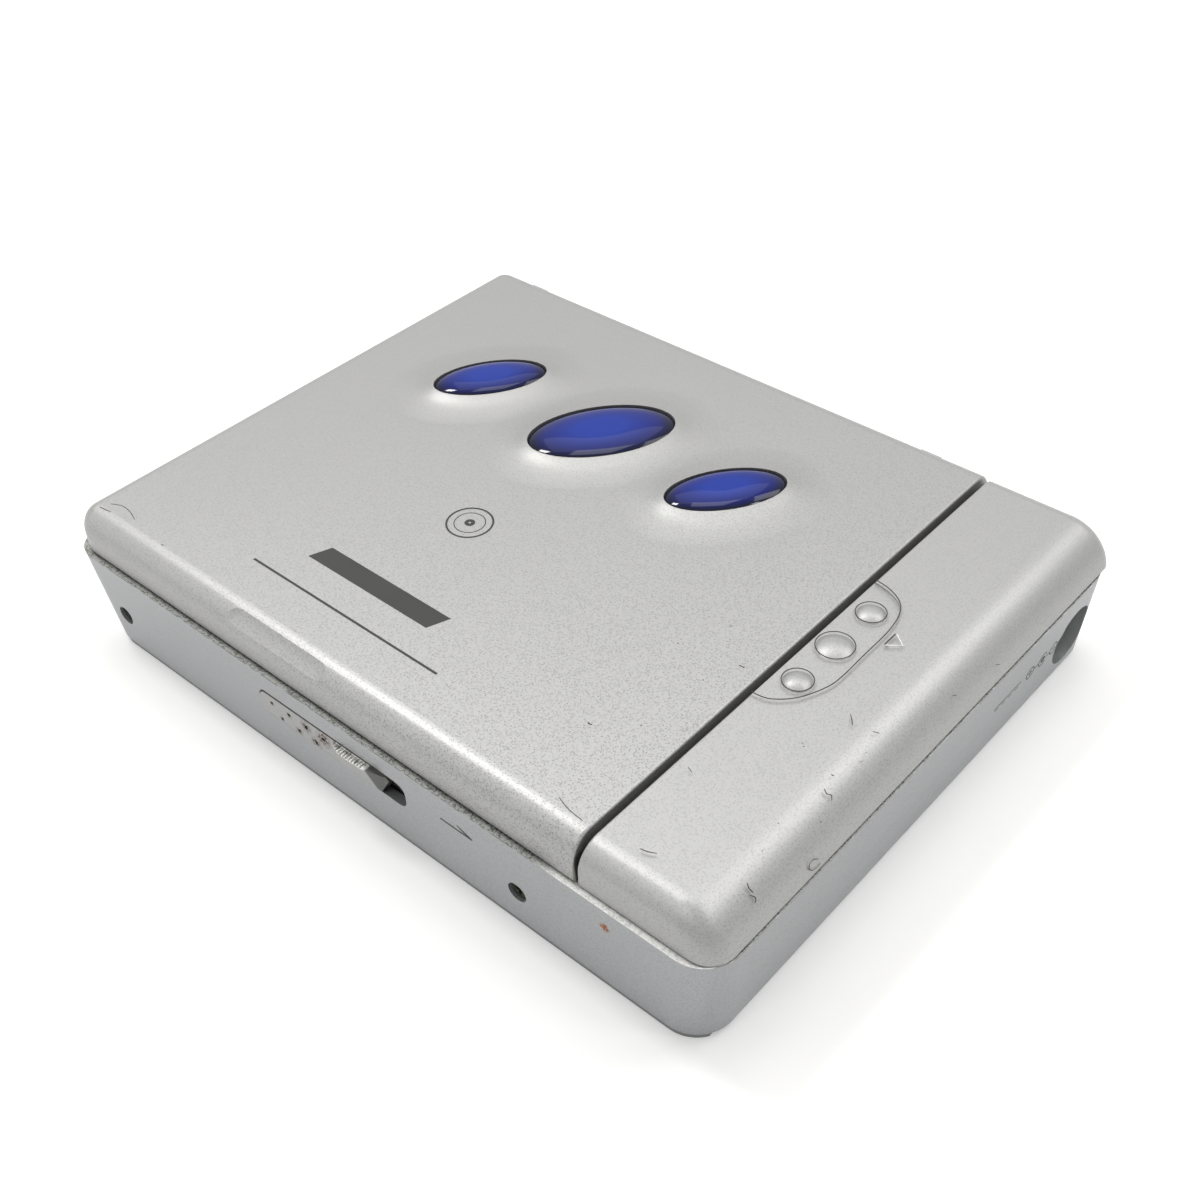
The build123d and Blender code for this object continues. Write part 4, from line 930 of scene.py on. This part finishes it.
# %% Marks on the door
SEAM = 34.46
grip_edge = smooth([
    (SEAM + 0.1, -11.15), (36.7, -10.75), (38.9, -8.75), (40.35, -5.6), (40.72, -3.2), (40.66, 1.0),
    (40.56, 6.4), (39.9, 9.6), (38.66, 11.4), (36.6, 12.45), (SEAM + 0.1, 12.8),
], 8)
door_lines = Pen(on_door)
# painted shade along the step at the edge of the thumb grip
door_lines.stroke(grip_edge, 0.12, 1.0)
for points in (
    [(39.25, -35.3), (40.1, -35.1), (40.9, -34.7)], [(36.2, -24.0), (36.9, -24.3)],
    [(43.1, -13.9), (43.25, -13.85)], [(43.5, -14.2), (43.65, -14.15)],
    [(44.6, -7.2), (45.2, -7.8), (45.7, -8.4)],
):
    door_lines.stroke(points, 0.10, 0.6)
# the triangle's base, dark as painted shade
door_lines.stroke([(41.45, 4.15), (41.45, 6.35)], 0.16, 1.0)
door_lines.done("door_lines", "battery_door", grime_and_shade)

# the triangle's slanted sides, painted bright as a highlight
arrow_head = Pen(on_door)
arrow_head.stroke([(41.6, 4.1), (43.1, 5.25), (41.6, 6.4)], 0.14, 1.0)
arrow_head.done("door_arrow", "battery_door", highlight_paint)

# painted shade round each bump, where it meets the grip
bump_lines = Pen(on_grip)
for v, radius in ((7.9, 1.75), (0.8, 2.2), (-6.3, 1.75)):
    bump_lines.ring(SEAM + 2.75, v, radius + 0.05, 0.12)
bump_lines.done("bump_lines", "battery_door", grime_and_shade)

# %% [markdown]
# The round end takes the most knocks. Its scuffs are drawn by the angle round the curve, which
# keeps them on it.

# %% Scuffs on the door's round end
end_scuffs = Pen(on_end_round)
for points in (
    [(-22.4, 71.5), (-23.2, 66.8), (-23.8, 68.0), (-24.0, 71.5), (-23.7, 76.0), (-22.9, 78.5), (-22.3, 77.5)],
    [(-31.3, 34.5), (-31.5, 39.5), (-31.4, 45.0)], [(-31.9, 44.0), (-31.5, 50.0), (-31.8, 54.0)],
    [(-17.2, 24.0), (-17.4, 29.0), (-17.1, 33.0), (-17.5, 37.0)], [(-15.3, 19.0), (-15.2, 22.0)],
    [(-11.7, 30.0), (-11.3, 31.5)], [(-10.4, 27.5), (-10.1, 28.6)], [(-7.6, 18.0), (-7.2, 24.0)],
    [(4.0, 50.0), (4.6, 54.0)], [(12.2, 62.0), (12.9, 66.0)],
):
    end_scuffs.stroke(smooth(points, 4), 0.10, 0.5)
for u, v in ((-24.0, 16.4), (-20.1, 44.0), (-27.6, 24.0)):
    end_scuffs.stroke([(u - 0.08, v), (u + 0.08, v)], 0.9, 0.8)
end_scuffs.done("end_scuffs", "battery_door", grime_and_shade)

# %% [markdown]
# ### Marks on the walls
#
# The front wall carries a small half arrow that shows which way the opener slides. On the right end a row of
# tiny signs stands by the power socket; a ring, a dot and two short bars are the plain signs for a plug's
# poles. A painted shadow draws a thin dark line along the slot's top edge.

# %% Marks on the walls
front_marks = Pen(on_front)
front_marks.stroke([(15.0, 9.35), (19.75, 9.35)], 0.24, 1.0)
front_marks.stroke([(17.6, 10.15), (18.6, 9.75), (19.85, 9.35)], 0.27, 0.6)
front_marks.done("front_arrow", "case", ink)

# a painted shadow under the slot's upper lip, with a hook at its left end
slot_lip = Pen(on_front)
slot_lip.stroke([(-15.05, 9.55), (-14.9, 9.9), (-14.5, 10.1)], 0.34, 0.8)
slot_lip.stroke([(-14.6, 10.12), (3.0, 10.12), (7.9, 10.12)], 0.19, 1.0)
slot_lip.done("slot_shadow", "case", grime_and_shade)

pole_marks = Pen(on_right)
pole_marks.arc(24.9, 7.3, 0.95, 40, 320, 0.16)
pole_marks.ring(24.9, 7.3, 0.30, 0.36, 20)
for u in (21.9, 27.5):
    pole_marks.ring(u, 7.3, 0.85, 0.16, 32)
    pole_marks.stroke([(u - 0.42, 7.3), (u + 0.42, 7.3)], 0.15, 1.0)
pole_marks.stroke([(21.9, 6.88), (21.9, 7.72)], 0.15, 1.0)
pole_marks.stroke([(22.75, 7.3), (23.95, 7.3)], 0.12, 1.0)
pole_marks.stroke([(25.2, 7.3), (26.65, 7.3)], 0.12, 1.0)
pole_marks.stroke([(13.5, 7.55), (19.6, 7.55)], 0.13, 1.0)
for n in range(4):
    pole_marks.stroke([(13.8 + n * 1.5, 7.05), (14.6 + n * 1.5, 7.05)], 0.12, 1.0)
pole_marks.done("pole_marks", "case", ink)

# %% [markdown]
# ## Floor and light
#
# The player stands on a plain pale floor. A glow is added to that floor for the eye alone: it
# shows to the camera, in shiny surfaces and through clear ones, and casts no light. It grows
# from GLOW_NEAR round the player to GLOW_FAR away from it, so that the floor runs out to plain
# white and still keeps the shadow of the case.

# %% The floor
def show_to_eye(wires, path, lighting, seen, surface):
    """One shader for the rays that light the scene, another for those the eye follows."""
    mirrored = wires.math("MAXIMUM", path["Is Glossy Ray"], path["Is Transmission Ray"])
    looked_at = wires.math("MAXIMUM", path["Is Camera Ray"], mirrored)
    pick = wires.add("ShaderNodeMixShader", Fac=looked_at)
    wires.link(lighting.outputs[0], pick.inputs[1])
    wires.link(seen.outputs[0], pick.inputs[2])
    wires.link(pick.outputs[0], surface)


HALF_FLOOR = 3.0
GLOW_START, GLOW_END = 0.22, 0.75       # metres from the middle of the floor
GLOW_NEAR, GLOW_FAR = 0.35, 0.90
corners = [(x * HALF_FLOOR, y * HALF_FLOOR, 0) for x, y in ((-1, -1), (1, -1), (1, 1), (-1, 1))]
floor_mesh = bpy.data.meshes.new("floor")
floor_mesh.from_pydata(corners, [], [(0, 1, 2, 3)])
floor = bpy.data.objects.new("floor", floor_mesh)
bpy.context.scene.collection.objects.link(floor)
floor_paint, w, floor_shader = new_material("pale floor")
set_plain(floor_shader, (0.80, 0.80, 0.80), 0.9, 0.0, Specular_IOR_Level=0.0)
path = w.add("ShaderNodeLightPath").outputs
from_middle = w.add("ShaderNodeVectorMath", {"operation": "LENGTH"}, _0=object_coords(w)).outputs["Value"]
strength = w.remap(from_middle, GLOW_START, GLOW_END, GLOW_NEAR, GLOW_FAR)
glow = w.add("ShaderNodeEmission", Strength=strength)
seen = w.add("ShaderNodeAddShader")
w.link(floor_shader.outputs[0], seen.inputs[0])
w.link(glow.outputs[0], seen.inputs[1])
show_to_eye(w, path, floor_shader, seen, w.tree.nodes["Material Output"].inputs["Surface"])
floor_mesh.materials.append(floor_paint)
print("floor:", 2 * HALF_FLOOR, "metres wide")

# %% [markdown]
# The room lights the player from all round. It is brightest behind the player on the left, and
# almost dark at the front right, the side from which one looks. What the eye sees of the room is
# plain white, and eight tenths of that white in shiny surfaces and through clear ones. A small
# switch between two backgrounds does that without any picture of a room.

# %% The room
ROOM_BACK, ROOM_FRONT = 0.95, 0.05
LOOKING_SIDE = (0.66, -0.72, 0.10)      # points from the player to the dark side of the room
WHITE_IN_GLOSS = 0.8
world = bpy.data.worlds.new("studio")
bpy.context.scene.world = world
world.use_nodes = True
w = Wiring(world.node_tree)
room = world.node_tree.nodes["Background"]
toward = w.add("ShaderNodeTexCoord").outputs["Generated"]
facing = w.add("ShaderNodeVectorMath", {"operation": "DOT_PRODUCT"}, _0=toward, _1=LOOKING_SIDE)
level = w.remap(facing.outputs["Value"], -0.6, 0.7, ROOM_BACK, ROOM_FRONT)
w.feed(room, "Color", (1.0, 0.995, 0.985, 1.0))
w.feed(room, "Strength", level)
path = w.add("ShaderNodeLightPath").outputs
brightness = w.math("ADD", w.times(path["Is Camera Ray"], 1.0 - WHITE_IN_GLOSS), WHITE_IN_GLOSS)
white = w.add("ShaderNodeBackground", Color=(1.0, 1.0, 1.0, 1.0), Strength=brightness)
show_to_eye(w, path, room, white, w.tree.nodes["World Output"].inputs["Surface"])
print("room:", world.name)

# %% [markdown]
# Seven square lamps do the rest. The left lamp is small and strong and stands high; it draws
# the bright line along the lid's front round and a fairly crisp shadow on the right. The back
# right softbox is broad and lights the door's round end. The high back softbox and the ceiling
# light are broad too and stand high over the back left of the player. The front window and the
# right window are a little smaller than the left lamp and weaker. The front left fill is close,
# low and weak, for the front wall and the left end.

# %% Lamps
LAMP_COLOUR = (1.0, 0.99, 0.97)
AIM = Vector((0.0, 0.0, 0.01))
FAR_OFF, CLOSE_BY = 0.70, 0.36          # metres from the point the lamps are aimed at


def add_lamp(name, direction, distance, size, power):
    lamp = bpy.data.lights.new(name, "AREA")
    lamp.shape = "SQUARE"
    lamp.size = size
    lamp.energy = power
    lamp.color = LAMP_COLOUR
    holder = bpy.data.objects.new(name, lamp)
    holder.location = AIM + Vector(direction).normalized() * distance
    holder.rotation_euler = (AIM - holder.location).to_track_quat("-Z", "Y").to_euler()
    bpy.context.scene.collection.objects.link(holder)


# name, direction, distance, size of the square, power in watts
LAMPS = (
    ("left lamp", (-0.52, 0.0, 0.857), FAR_OFF, 0.11, 1.3),
    ("back right softbox", (0.30, 0.55, 0.78), FAR_OFF, 0.30, 1.0),
    ("high back softbox", (-0.36, 0.45, 0.82), FAR_OFF, 0.41, 0.36),
    ("ceiling light", (-0.12, 0.22, 0.97), FAR_OFF, 0.24, 0.5),
    ("front window", (0.0, -0.55, 0.82), FAR_OFF, 0.09, 0.3),
    ("right window", (0.60, 0.20, 0.765), FAR_OFF, 0.09, 0.3),
    ("front left fill", (-0.62, -0.62, 0.48), CLOSE_BY, 0.25, 0.12),
)
for lamp_values in LAMPS:
    add_lamp(*lamp_values)
print("lamps placed:", len(LAMPS))

# %% [markdown]
# ## Camera
#
# The camera stands above the front right corner and looks down at about forty degrees, rolled
# very slightly. Its axes are built from those angles.

# %% Camera
YAW, PITCH, ROLL = math.radians(42.678), math.radians(41.040), math.radians(-2.281)
CAMERA_PLACE = (0.10146, -0.10703, 0.13346)
look = Vector((-math.sin(YAW) * math.cos(PITCH), math.cos(YAW) * math.cos(PITCH), -math.sin(PITCH)))
right = Vector((math.cos(YAW), math.sin(YAW), 0.0))
up = right.cross(look)
cam_x = right * math.cos(ROLL) + up * math.sin(ROLL)
cam_y = up * math.cos(ROLL) - right * math.sin(ROLL)
camera_data = bpy.data.cameras.new("camera")
camera_data.sensor_width = 36.0
camera_data.lens = 45.50
camera_data.clip_start = 0.01
camera = bpy.data.objects.new("camera", camera_data)
rows = [(cam_x[n], cam_y[n], -look[n], CAMERA_PLACE[n]) for n in range(3)]
camera.matrix_world = Matrix((*rows, (0, 0, 0, 1)))
bpy.context.scene.collection.objects.link(camera)
bpy.context.scene.camera = camera
bpy.context.scene.view_settings.view_transform = "Standard"

print("camera looks along", tuple(round(c, 3) for c in look))
